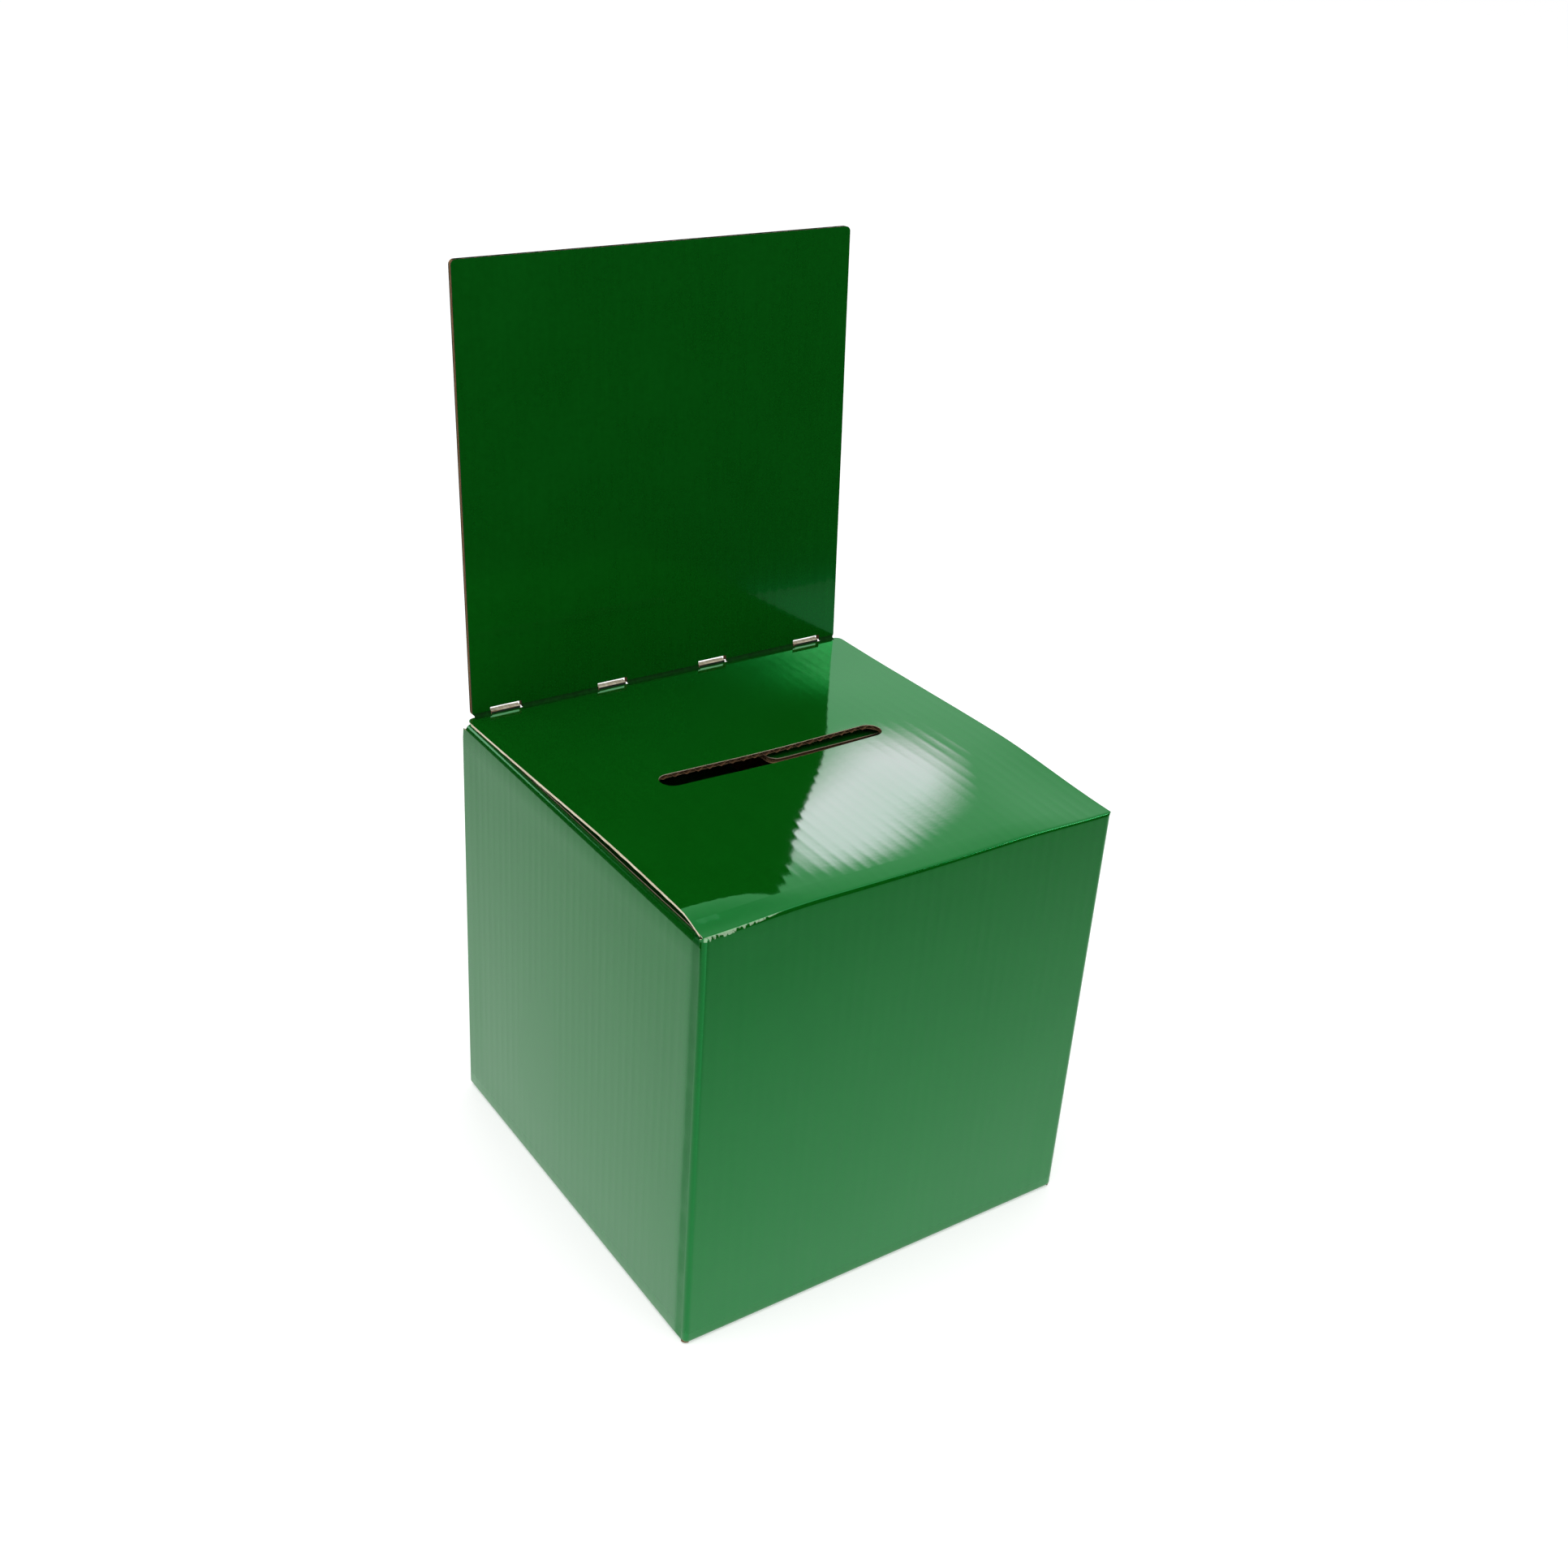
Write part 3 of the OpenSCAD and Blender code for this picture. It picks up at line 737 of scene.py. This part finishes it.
# The lock tabs' pressed ends are cream, with painted shade darkening their fronts
tab_edge_painted_shade = painted_shade_front(fibrous("pressed_tab_edge_painted_shade", CLAY_SHADE, CREAM, (700, 60, 500), 0.75, 0.05 * MM))
kraft_upright = fibrous("kraft_liner_upright", KRAFT, KRAFT_LIGHT, (700, 700, 60))
kraft_flat = fibrous("kraft_liner_flat", KRAFT, KRAFT_LIGHT, (700, 60, 700))
kraft_side = fibrous("kraft_liner_side", KRAFT, KRAFT_LIGHT, (60, 700, 700))
medium_upright = fibrous("fluted_kraft_upright", MEDIUM_DARK, MEDIUM_BROWN, (800, 800, 90))
medium_flat = fibrous("fluted_kraft_flat", MEDIUM_DARK, MEDIUM_BROWN, (800, 90, 800))
medium_side = fibrous("fluted_kraft_side", MEDIUM_DARK, MEDIUM_BROWN, (90, 800, 800))
flap_up = coated_flap("coated_flap_up", (0, 0, 1))
flap_down = coated_flap("coated_flap_down", (0, 0, -1))
flap_left = coated_flap("coated_flap_left", (-1, 0, 0))
header_kraft = fibrous("kraft_liner_header", KRAFT, KRAFT_LIGHT, (700, 700, 60), dark_rim=True)
header_medium = fibrous("fluted_kraft_header", MEDIUM_DARK, MEDIUM_BROWN, (800, 800, 90), dark_rim=True)
header_rim_edge = fibrous("dark_rim_edge", DARK_RIM_AND_PAINTED_SHADE, DARK_RIM_LIGHTER, (700, 700, 700), 0.7, 0.03 * MM)


def dress_node(node, material):
    """Gives a CAD node that stays its material."""
    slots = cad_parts[node].data.materials
    slots.clear()
    slots.append(material)


for panel in ["front_panel", "back_panel", "left_panel", "right_panel", "glue_flap"]:
    dress_node(f"{panel}_fluting", medium_upright)
    dress_node(f"{panel}_inner_liner", kraft_upright)
dress_node("header_fluting", header_medium)
dress_node("header_inner_liner", header_kraft)
for panel in ["front_base_flap", "back_base_flap", "lid"]:
    dress_node(f"{panel}_fluting", medium_flat)
    dress_node(f"{panel}_inner_liner", kraft_flat)
for panel in ["left_base_flap", "right_base_flap", "left_dust_flap", "right_dust_flap"]:
    dress_node(f"{panel}_fluting", medium_side)
    dress_node(f"{panel}_inner_liner", kraft_side)
for panel in ["left_dust_flap", "right_dust_flap"]:
    dress_node(f"{panel}_outer_liner", flap_up)
for panel in ["front_base_flap", "back_base_flap", "left_base_flap", "right_base_flap"]:
    dress_node(f"{panel}_outer_liner", flap_down)
dress_node("glue_flap_outer_liner", flap_left)

# Panels whose printed liner is modelled again, with its washboard and bow


def stand_for(piece, body, slot, *nodes):
    """The piece rides on the body and shows instead of the nodes; the slot is not used."""
    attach(piece, body)
    if nodes:
        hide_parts(*nodes)


def outer_liner(name, body, us, vs, place, outlines, green, node, edge=clay_edge):
    """Printed face of a panel, shown instead of its node; its back and cut ends take the edge material."""
    piece = panel_piece(name, us, vs, BOARD - LINER, BOARD, place, outlines, [green, edge])
    stand_for(piece, body, "green_coated_paper", node)


FRONT, RIGHT, BACK, LEFT = 0, math.pi / 2, math.pi, -math.pi / 2

# The folds round each wall, across and up it; the back panel has none at its top
FRONT_FOLDS = ((-INNER_HALF, INNER_HALF), (BOARD, 2 * BOX_HALF))
LEFT_FOLDS = ((-BOX_HALF, INNER_HALF), (BOARD, DUST_FOLD_Z))
RIGHT_FOLDS = ((-INNER_HALF, INNER_HALF), (BOARD, DUST_FOLD_Z))
BACK_FOLDS = ((-INNER_HALF, INNER_HALF - BOARD), (BOARD, 2 * BOX_HALF + 2 * MM))

outer_liner(
    "front_panel_face", "box",
    across(*FRONT_FOLDS[0], folds=(True, True)), along(BOARD, CREASE_LOW, fold_low=True),
    place_wall(FRONT, *FRONT_FOLDS, SEEDS["front"], crush_at_low=True),
    [], green_wall, "front_panel_outer_liner",
)
outer_liner(
    "left_panel_face", "box",
    across(*LEFT_FOLDS[0]), along(*LEFT_FOLDS[1], fold_low=True, fold_high=True),
    place_wall(LEFT, *LEFT_FOLDS, SEEDS["left"], crush_at_high=True, lean_at_top=True),
    [rectangle(-BOX_HALF - CUT_OVER, -INNER_HALF, DUST_FOLD_Z, DUST_FOLD_Z + 2 * FOLD_ARC)],
    green_left, "left_panel_outer_liner",
)
outer_liner(
    "right_panel_face", "box",
    across(*RIGHT_FOLDS[0]), along(*RIGHT_FOLDS[1], fold_low=True, fold_high=True),
    place_wall(RIGHT, *RIGHT_FOLDS, SEEDS["right"]),
    [], green_wall, "right_panel_outer_liner",
)

back_start, back_end = BACK_FOLDS[0]
back_cuts = [rectangle(start, end, BACK_TOP - LINER_STOP, TAB_TOP + CUT_OVER)
             for start, end in between_tabs(back_start - 2 * FOLD_ARC, back_end + 2 * FOLD_ARC, TAB_WIDTH)]
# Its back and cut ends take the fold green, darkened as painted shade
outer_liner(
    "back_panel_face", "box",
    across(*BACK_FOLDS[0], folds=(True, True)), along(BOARD, TAB_TOP, fold_low=True),
    place_wall(BACK, *BACK_FOLDS, SEEDS["back"]),
    back_cuts, green_wall, "back_panel_outer_liner", green_fold_painted_shade,
)

header_cuts = [rectangle(tab - NOTCH_WIDTH / 2, tab + NOTCH_WIDTH / 2, -CUT_OVER, NOTCH_DEPTH)
               for tab in TAB_PLACES]
for side in (-1, 1):
    header_cuts.append(corner_cut(side * HEADER_HALF, HEADER_HEIGHT, side, 1, HEADER_CORNER_R))
    header_cuts.append(corner_cut(side * HEADER_HALF, HEADER_GAP, side, -1, HEADER_CORNER_R))
outer_liner(
    "header_face", "header",
    across(-HEADER_HALF, HEADER_HALF), along(HEADER_GAP, HEADER_HEIGHT), place_header,
    header_cuts, green_header, "header_outer_liner", header_rim_edge,
)

outer_liner(
    "lid_face", "lid",
    across(-LID_HALF, LID_HALF), along(CREASE_REAR, LID_REAR), place_lid,
    [slot_outline(), *lid_corners(LID_HALF)], green_lid, "lid_outer_liner",
)

# The lid's fluting and inner liner, bowed with its face


def place_lid_core(u, v, w):
    return u, v, LID_UNDER + w + crown(u, v)


def place_lid_fluting(u, v, w):
    count = round(2 * LID_HALF / FLUTE)
    pitch = 2 * LID_HALF / count
    swing = (BOARD - 2 * LINER - MEDIUM) / 2
    phase = 2 * math.pi * (u + LID_HALF) / pitch
    slope = 2 * math.pi * swing / pitch * np.sin(phase)
    wave = swing * np.cos(phase) + w * np.sqrt(1 + slope**2)
    return place_lid_core(u, v, BOARD / 2 + wave)


core_half = LID_HALF - LID_CORE_INSET
stand_for(
    panel_piece("lid_waves", lines(-core_half, core_half, FLUTE / 12), along(CREASE_REAR, LID_REAR),
                -MEDIUM / 2, MEDIUM / 2, place_lid_fluting, [slot_outline(), *lid_corners(core_half)],
                [medium_flat]),
    "lid", "fluted_kraft_paper", "lid_fluting",
)
stand_for(
    panel_piece("lid_underside", lines(-core_half, core_half, FLUTE / 2), along(LID_FRONT, LID_REAR),
                0, LINER, place_lid_core, [slot_outline(SLOT_SET_BACK), *lid_corners(core_half)],
                [kraft_flat]),
    "lid", "kraft_liner_paper", "lid_inner_liner",
)

# Skin over the front crease, one sheet with the front panel's face and the lid's


def crease_skin():
    """Bends from the front panel's face over the crease to the lid's face."""
    reach = INNER_HALF + BOARD * SKIN_TURN
    us = lines(-reach, reach, FLUTE / COLUMNS)
    bend_low, bend_high = LID_TOP - CREASE_BEND, LID_TOP + CREASE_BEND
    lid_part = CREASE_REAR + BOX_HALF - CREASE_BEND
    rows = np.concatenate([
        lines(CREASE_LOW, bend_low, SKIN_STEP), lines(bend_low, bend_high, CREASE_BEND / 5)[1:],
        lines(bend_high, bend_high + lid_part, SKIN_STEP)[1:],
    ])

    def place(u, v, w):
        uc = np.clip(u, -INNER_HALF, INNER_HALF)
        a = (u - uc) / BOARD
        t = np.clip((v - bend_low) / (bend_high - bend_low), 0, 1)
        behind = np.clip(v - bend_high, 0, None)
        lid_x = u * LID_HALF / reach
        rise = crown(lid_x, np.full_like(u, -BOX_HALF))
        relief = wall_relief(uc, np.clip(v, None, bend_low), *FRONT_FOLDS, SEEDS["front"])
        out = w - BOARD + relief * np.cos(a)**2 * (1 - t)
        front_x, front_y = uc + w * np.sin(a), -INNER_HALF - BOARD * np.cos(a)
        front_z = np.clip(v, None, bend_low) + rise * smooth((v - CREASE_LOW) / (bend_low - CREASE_LOW))
        rear_y = CREASE_BEND - BOX_HALF + behind
        rear_z = LID_TOP + lid_surface(lid_x, rear_y)
        lean = np.hypot(1 - t, t)
        x = front_x * (1 - smooth(t)) + lid_x * smooth(t)
        y = bend(t, front_y, -BOX_HALF, rear_y) - out * (1 - t) / lean
        z = bend(t, front_z, LID_TOP + rise, rear_z) + out * t / lean
        return x, y, z

    piece = panel_piece("front_crease", us, rows, BOARD - LINER, BOARD, place, [], [green_crease, clay_edge])
    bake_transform(piece)


crease_skin()

# Strips of the sheet behind the lid, where the header's crease runs between the lock tabs


def strip_path(t):
    """y and z at t, from 0 on the lid's face to 1 on the header's."""
    return [bend(t, *points) for points in zip(STRIP_START, STRIP_BEND, STRIP_END)]


def place_strip(u, v, w):
    y, z = strip_path(v)
    ahead, above = strip_path(v + 0.01)
    length = np.hypot(ahead - y, above - z)
    return u, y - w * (above - z) / length, z + w * (ahead - y) / length


def header_crease():
    """One object with a strip in each stretch of the header's crease between its notches."""
    steps = np.linspace(0, 1, 9)
    # Each strip takes the fold green, darkened as painted shade of the crease
    pieces = [
        panel_piece("strip", lines(start, end, FLUTE / 4), steps, 0, STRIP_THICKNESS, place_strip, [],
                    [green_fold_painted_shade])
        for start, end in between_tabs(-HEADER_HALF + STRIP_INSET, HEADER_HALF - STRIP_INSET, NOTCH_WIDTH)
    ]
    strip = joined("header_crease", pieces, green_fold_painted_shade)
    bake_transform(strip)


header_crease()

# Cut edges of the lid, where the die pressed the papers together


def cut_edge(name, side):
    """Pressed edge between the lid's face and its underside, a little hollow and uneven."""
    def place(w, v, inwards):
        share = (BOARD - w) / EDGE_END
        change = 1 + 0.3 * uneven(v, w * 8, 9 * MM, SEEDS["cut_edge"])
        dent = EDGE_SET_IN + EDGE_HOLLOW * share**2 * change
        x = side * (LID_HALF - dent - np.abs(inwards))
        return x, v, LID_UNDER + w + crown(np.full_like(v, side * LID_HALF), v)

    ws = np.linspace(BOARD - EDGE_END, BOARD - EDGE_START, 6)
    vs = lines(-BOX_HALF + 4 * MM, LID_REAR - LID_CORNER_R - MM, 1.5 * MM)
    piece = panel_piece(name, ws, vs, 0, EDGE_THICKNESS, place, [], [pressed_edge])
    stand_for(piece, "lid", "green_coated_paper")


cut_edge("lid_cut_edge_left", -1)
cut_edge("lid_cut_edge_right", 1)

# Pressed ends of the lock tabs


def place_tab_end(seed):
    """Placing function of one tab's end, which runs up its front, turns, and runs back over its top."""
    def place(u, v, w):
        top = np.clip(v - TAB_FLAT, 0, None)
        turn = np.clip((v - TAB_TURN) / TAB_TURN_LENGTH, 0, 1) * math.pi / 2
        y = TAB_FRONT + TAB_ROUND * (1 - np.cos(turn)) + top - w * np.cos(turn)
        z = TAB_TOP - TAB_FOOT + np.clip(v, 0, TAB_TURN) + (TAB_ROUND + w) * np.sin(turn)
        z = z + TAB_UNEVEN * uneven(u, v, 9 * MM, seed) + TAB_CLIMB * top
        return u, np.minimum(y, TAB_REAR), z

    return place


def tab_ends():
    """One object with the pressed end of each lock tab."""
    half = TAB_WIDTH / 2 - TAB_INSET
    rows = lines(0, TAB_END, 0.25 * MM)
    pieces = [
        panel_piece("tab_end", lines(tab - half, tab + half, 0.8 * MM), rows, 0, TAB_THICKNESS,
                    place_tab_end(SEEDS["tab_end"] + number), [], [tab_edge_painted_shade])
        for number, tab in enumerate(TAB_PLACES)
    ]
    stand_for(joined("lock_tab_ends", pieces, tab_edge_painted_shade), "box", "kraft_liner_paper")


tab_ends()

# Stage: camera, floor, lights

# The camera's direction and roll, its distance, what it is level with, and its shift, in sides of the box
AZIMUTH = math.radians(-35.78)
ELEVATION = math.radians(28.48)
ROLL = math.radians(3.99)
BOX_SIDE = 2 * BOX_HALF
CAMERA_DISTANCE = 4.1704 * BOX_SIDE
CAMERA_AIM_Z = 0.6 * BOX_SIDE
CAMERA_RIGHT = 0.0338 * BOX_SIDE
CAMERA_UP = 0.307 * BOX_SIDE
LENS = 42.91

# Light from the world on what isn't mirrored, and the floor's own glow for what sees it
AMBIENT = 0.72
FLOOR_GLOW = 0.42
FLOOR_REACH = 7

# Cards that show only in reflections: black ones, by two opposite corners, and a softbox over the lid
BLACK = (0, 0, 0)
FLAGS = [
    ("header_flag", (0.0, -0.40, 0.075), (0.75, -0.40, 0.5)),
    ("front_flag", (-0.9, -0.75, 0.63), (1.4, -0.75, 2.4)),
    ("side_flag", (-0.85, -0.4, 0.01), (-0.85, 2.4, 1.2)),
    ("low_flag", (-0.85, -0.1, 0.004), (-0.40, 1.4, 0.004)),
    ("top_flag", (-1.2, -0.4, 1.5), (-0.13, 3.0, 1.5)),
]
SOFTBOX_AIM = Vector((0.010, -0.055, 0.231))
SOFTBOX = Vector((0.556, 0.612, 0.693))


def add_camera():
    back = Vector((math.sin(AZIMUTH) * math.cos(ELEVATION), -math.cos(AZIMUTH) * math.cos(ELEVATION),
                   math.sin(ELEVATION)))
    level = Vector((math.cos(AZIMUTH), math.sin(AZIMUTH), 0))
    upward = back.cross(level)
    right = level * math.cos(ROLL) + upward * math.sin(ROLL)
    up = upward * math.cos(ROLL) - level * math.sin(ROLL)
    place = Vector((0, 0, CAMERA_AIM_Z)) + back * CAMERA_DISTANCE + right * CAMERA_RIGHT + up * CAMERA_UP
    data = bpy.data.cameras.new("camera")
    data.lens = LENS
    data.sensor_width = 36
    data.clip_end = 50
    camera = bpy.data.objects.new("camera", data)
    camera.matrix_world = Matrix.Translation(place) @ Matrix((right, up, back)).transposed().to_4x4()
    bpy.context.scene.collection.objects.link(camera)
    bpy.context.scene.camera = camera


def seen_rays(tree):
    """1 for a ray from the camera, a reflection or a transmission, and 0 for one that gathers light."""
    path = tree.nodes.new("ShaderNodeLightPath")
    total = path.outputs["Is Camera Ray"]
    for name in ("Is Glossy Ray", "Is Transmission Ray"):
        add = tree.nodes.new("ShaderNodeMath")
        add.operation = "ADD"
        add.use_clamp = True
        tree.links.new(total, add.inputs[0])
        tree.links.new(path.outputs[name], add.inputs[1])
        total = add.outputs[0]
    return total


def add_world():
    world = bpy.data.worlds.new("studio")
    bpy.context.scene.world = world
    world.use_nodes = True
    tree = world.node_tree
    strength = tree.nodes.new("ShaderNodeMapRange")
    strength.inputs["To Min"].default_value = AMBIENT
    strength.inputs["To Max"].default_value = 1.0
    tree.links.new(seen_rays(tree), strength.inputs["Value"])
    background = tree.nodes["Background"]
    background.inputs["Color"].default_value = (1, 1, 1, 1)
    tree.links.new(strength.outputs["Result"], background.inputs["Strength"])


def add_floor():
    mesh = bpy.data.meshes.new("floor")
    corners = [(x * FLOOR_REACH, y * FLOOR_REACH, 0) for x, y in ((-1, -1), (1, -1), (1, 1), (-1, 1))]
    mesh.from_pydata(corners, [], [(0, 1, 2, 3)])
    floor = bpy.data.objects.new("floor", mesh)
    bpy.context.scene.collection.objects.link(floor)
    material = bpy.data.materials.new("pale_floor")
    material.use_nodes = True
    tree = material.node_tree
    shader = tree.nodes["Principled BSDF"]
    shader.inputs["Base Color"].default_value = (0.80, 0.80, 0.80, 1)
    shader.inputs["Roughness"].default_value = 0.9
    shader.inputs["Specular IOR Level"].default_value = 0.0
    shader.inputs["Emission Color"].default_value = (1, 1, 1, 1)
    glow = tree.nodes.new("ShaderNodeMath")
    glow.operation = "MULTIPLY"
    glow.inputs[1].default_value = FLOOR_GLOW
    tree.links.new(seen_rays(tree), glow.inputs[0])
    tree.links.new(glow.outputs[0], shader.inputs["Emission Strength"])
    mesh.materials.append(material)


def add_area(name, place, aim, size, power):
    """Rectangular light that lights the box without showing in it."""
    data = bpy.data.lights.new(name, "AREA")
    data.shape = "RECTANGLE"
    data.size, data.size_y = size
    data.energy = power
    lamp = bpy.data.objects.new(name, data)
    place, aim = Vector(place), Vector(aim)
    lamp.location = place
    lamp.rotation_euler = (aim - place).to_track_quat("-Z", "Y").to_euler()
    lamp.visible_camera = False
    lamp.visible_glossy = False
    bpy.context.scene.collection.objects.link(lamp)


def fade_along(tree, axis, start, end, low):
    """1 at the start of the stretch along that world axis, and low at its end."""
    position = tree.nodes.new("ShaderNodeNewGeometry")
    parts = tree.nodes.new("ShaderNodeSeparateXYZ")
    tree.links.new(position.outputs["Position"], parts.inputs[0])
    fade = tree.nodes.new("ShaderNodeMapRange")
    fade.inputs["From Min"].default_value = start
    fade.inputs["From Max"].default_value = end
    fade.inputs["To Min"].default_value = 1.0
    fade.inputs["To Max"].default_value = low
    tree.links.new(parts.outputs[axis], fade.inputs["Value"])
    return fade.outputs["Result"]


def add_card(name, corners, glow, falloff=None, run=None):
    """Studio card that shows only in reflections.

    falloff has the radii from which and to which it fades out. run dims it along an axis: the axis, the
    start and end, and the share of its light that is left there.
    """
    mesh = bpy.data.meshes.new(name)
    middle = sum((Vector(c) for c in corners), Vector()) / len(corners)
    mesh.from_pydata([Vector(c) - middle for c in corners], [], [tuple(range(len(corners)))])
    card = bpy.data.objects.new(name, mesh)
    card.location = middle
    bpy.context.scene.collection.objects.link(card)
    material = bpy.data.materials.new(name)
    material.use_nodes = True
    tree = material.node_tree
    tree.nodes.remove(tree.nodes["Principled BSDF"])
    output = tree.nodes["Material Output"]
    emission = tree.nodes.new("ShaderNodeEmission")
    emission.inputs["Color"].default_value = (*glow, 1)
    tree.links.new(emission.outputs[0], output.inputs["Surface"])
    if run:
        tree.links.new(fade_along(tree, *run), emission.inputs["Strength"])
    if falloff:
        clear = tree.nodes.new("ShaderNodeBsdfTransparent")
        mix = tree.nodes.new("ShaderNodeMixShader")
        coords = tree.nodes.new("ShaderNodeTexCoord")
        length = tree.nodes.new("ShaderNodeVectorMath")
        length.operation = "LENGTH"
        fade = tree.nodes.new("ShaderNodeMapRange")
        fade.interpolation_type = "SMOOTHSTEP"
        fade.inputs["From Min"].default_value = falloff[0]
        fade.inputs["From Max"].default_value = falloff[1]
        tree.links.new(coords.outputs["Object"], length.inputs[0])
        tree.links.new(length.outputs["Value"], fade.inputs["Value"])
        tree.links.new(fade.outputs["Result"], mix.inputs[0])
        tree.links.new(emission.outputs[0], mix.inputs[1])
        tree.links.new(clear.outputs[0], mix.inputs[2])
        tree.links.new(mix.outputs[0], output.inputs["Surface"])
    mesh.materials.append(material)
    card.visible_camera = False
    card.visible_diffuse = False
    card.visible_shadow = False
    card.visible_transmission = False


def flat_card(name, low, high, glow, run=None):
    """Card between two opposite corners, square to the axis on which they agree."""
    a, b = [axis for axis in range(3) if low[axis] != high[axis]]
    corners = []
    for end_a, end_b in ((low, low), (high, low), (high, high), (low, high)):
        corner = list(low)
        corner[a], corner[b] = end_a[a], end_b[b]
        corners.append(corner)
    add_card(name, corners, glow, run=run)


def facing_card(name, middle, towards, width, height, glow, falloff=None, run=None):
    """Card square to the line from its middle to a point."""
    middle = Vector(middle)
    normal = (Vector(towards) - middle).normalized()
    side = normal.cross(Vector((0, 0, 1))).normalized()
    up = side.cross(normal)
    corners = [middle + side * a * width / 2 + up * b * height / 2
               for a, b in ((-1, -1), (1, -1), (1, 1), (-1, 1))]
    add_card(name, corners, glow, falloff, run)


def add_stage():
    bpy.context.scene.view_settings.view_transform = "Standard"
    add_camera()
    add_world()
    add_floor()
    add_area("overhead_light", (-0.3, -0.3, 3.0), (0, 0, 0.2), (2.5, 2.5), 32)
    add_area("front_light", (-0.05, -0.75, 0.16), (0, -0.114, 0.10), (0.5, 0.2), 0.75)
    add_area("left_light", (-1.1, 0.0, 0.35), (-0.114, 0.0, 0.11), (0.6, 0.5), 1.6)
    for name, low, high in FLAGS:
        flat_card(name, low, high, BLACK)
    flat_card("floor_reflector_left", (-0.75, -0.6, 0.002), (-0.118, 0.7, 0.002), (0.95, 0.95, 0.95),
              run=("X", -0.118, -0.45, 0.5))
    flat_card("floor_reflector_front", (-0.118, -0.75, 0.002), (0.9, -0.118, 0.002), (1.0, 1.0, 1.0),
              run=("Y", -0.118, -0.45, 0.3))
    facing_card("sky_card", (1.05, 1.30, 1.45), SOFTBOX_AIM, 2.6, 2.2, (0.84, 1.20, 0.96),
                run=("Z", 0.5, 2.2, 0.6))
    facing_card("softbox", SOFTBOX, SOFTBOX_AIM, 0.34, 0.34, (6.0, 2.9, 5.0), falloff=(0.030, 0.105))
    facing_card("crease_light", (0.30, -0.46, 0.525), (0, -0.114, 0.229), 0.5, 0.045, (9.0, 9.0, 9.0))
    facing_card("fold_light", (-0.50, 0.95, 0.60), (-0.112, 0.08, 0.225), 0.36, 0.35, (2.6, 2.0, 2.4))


add_stage()
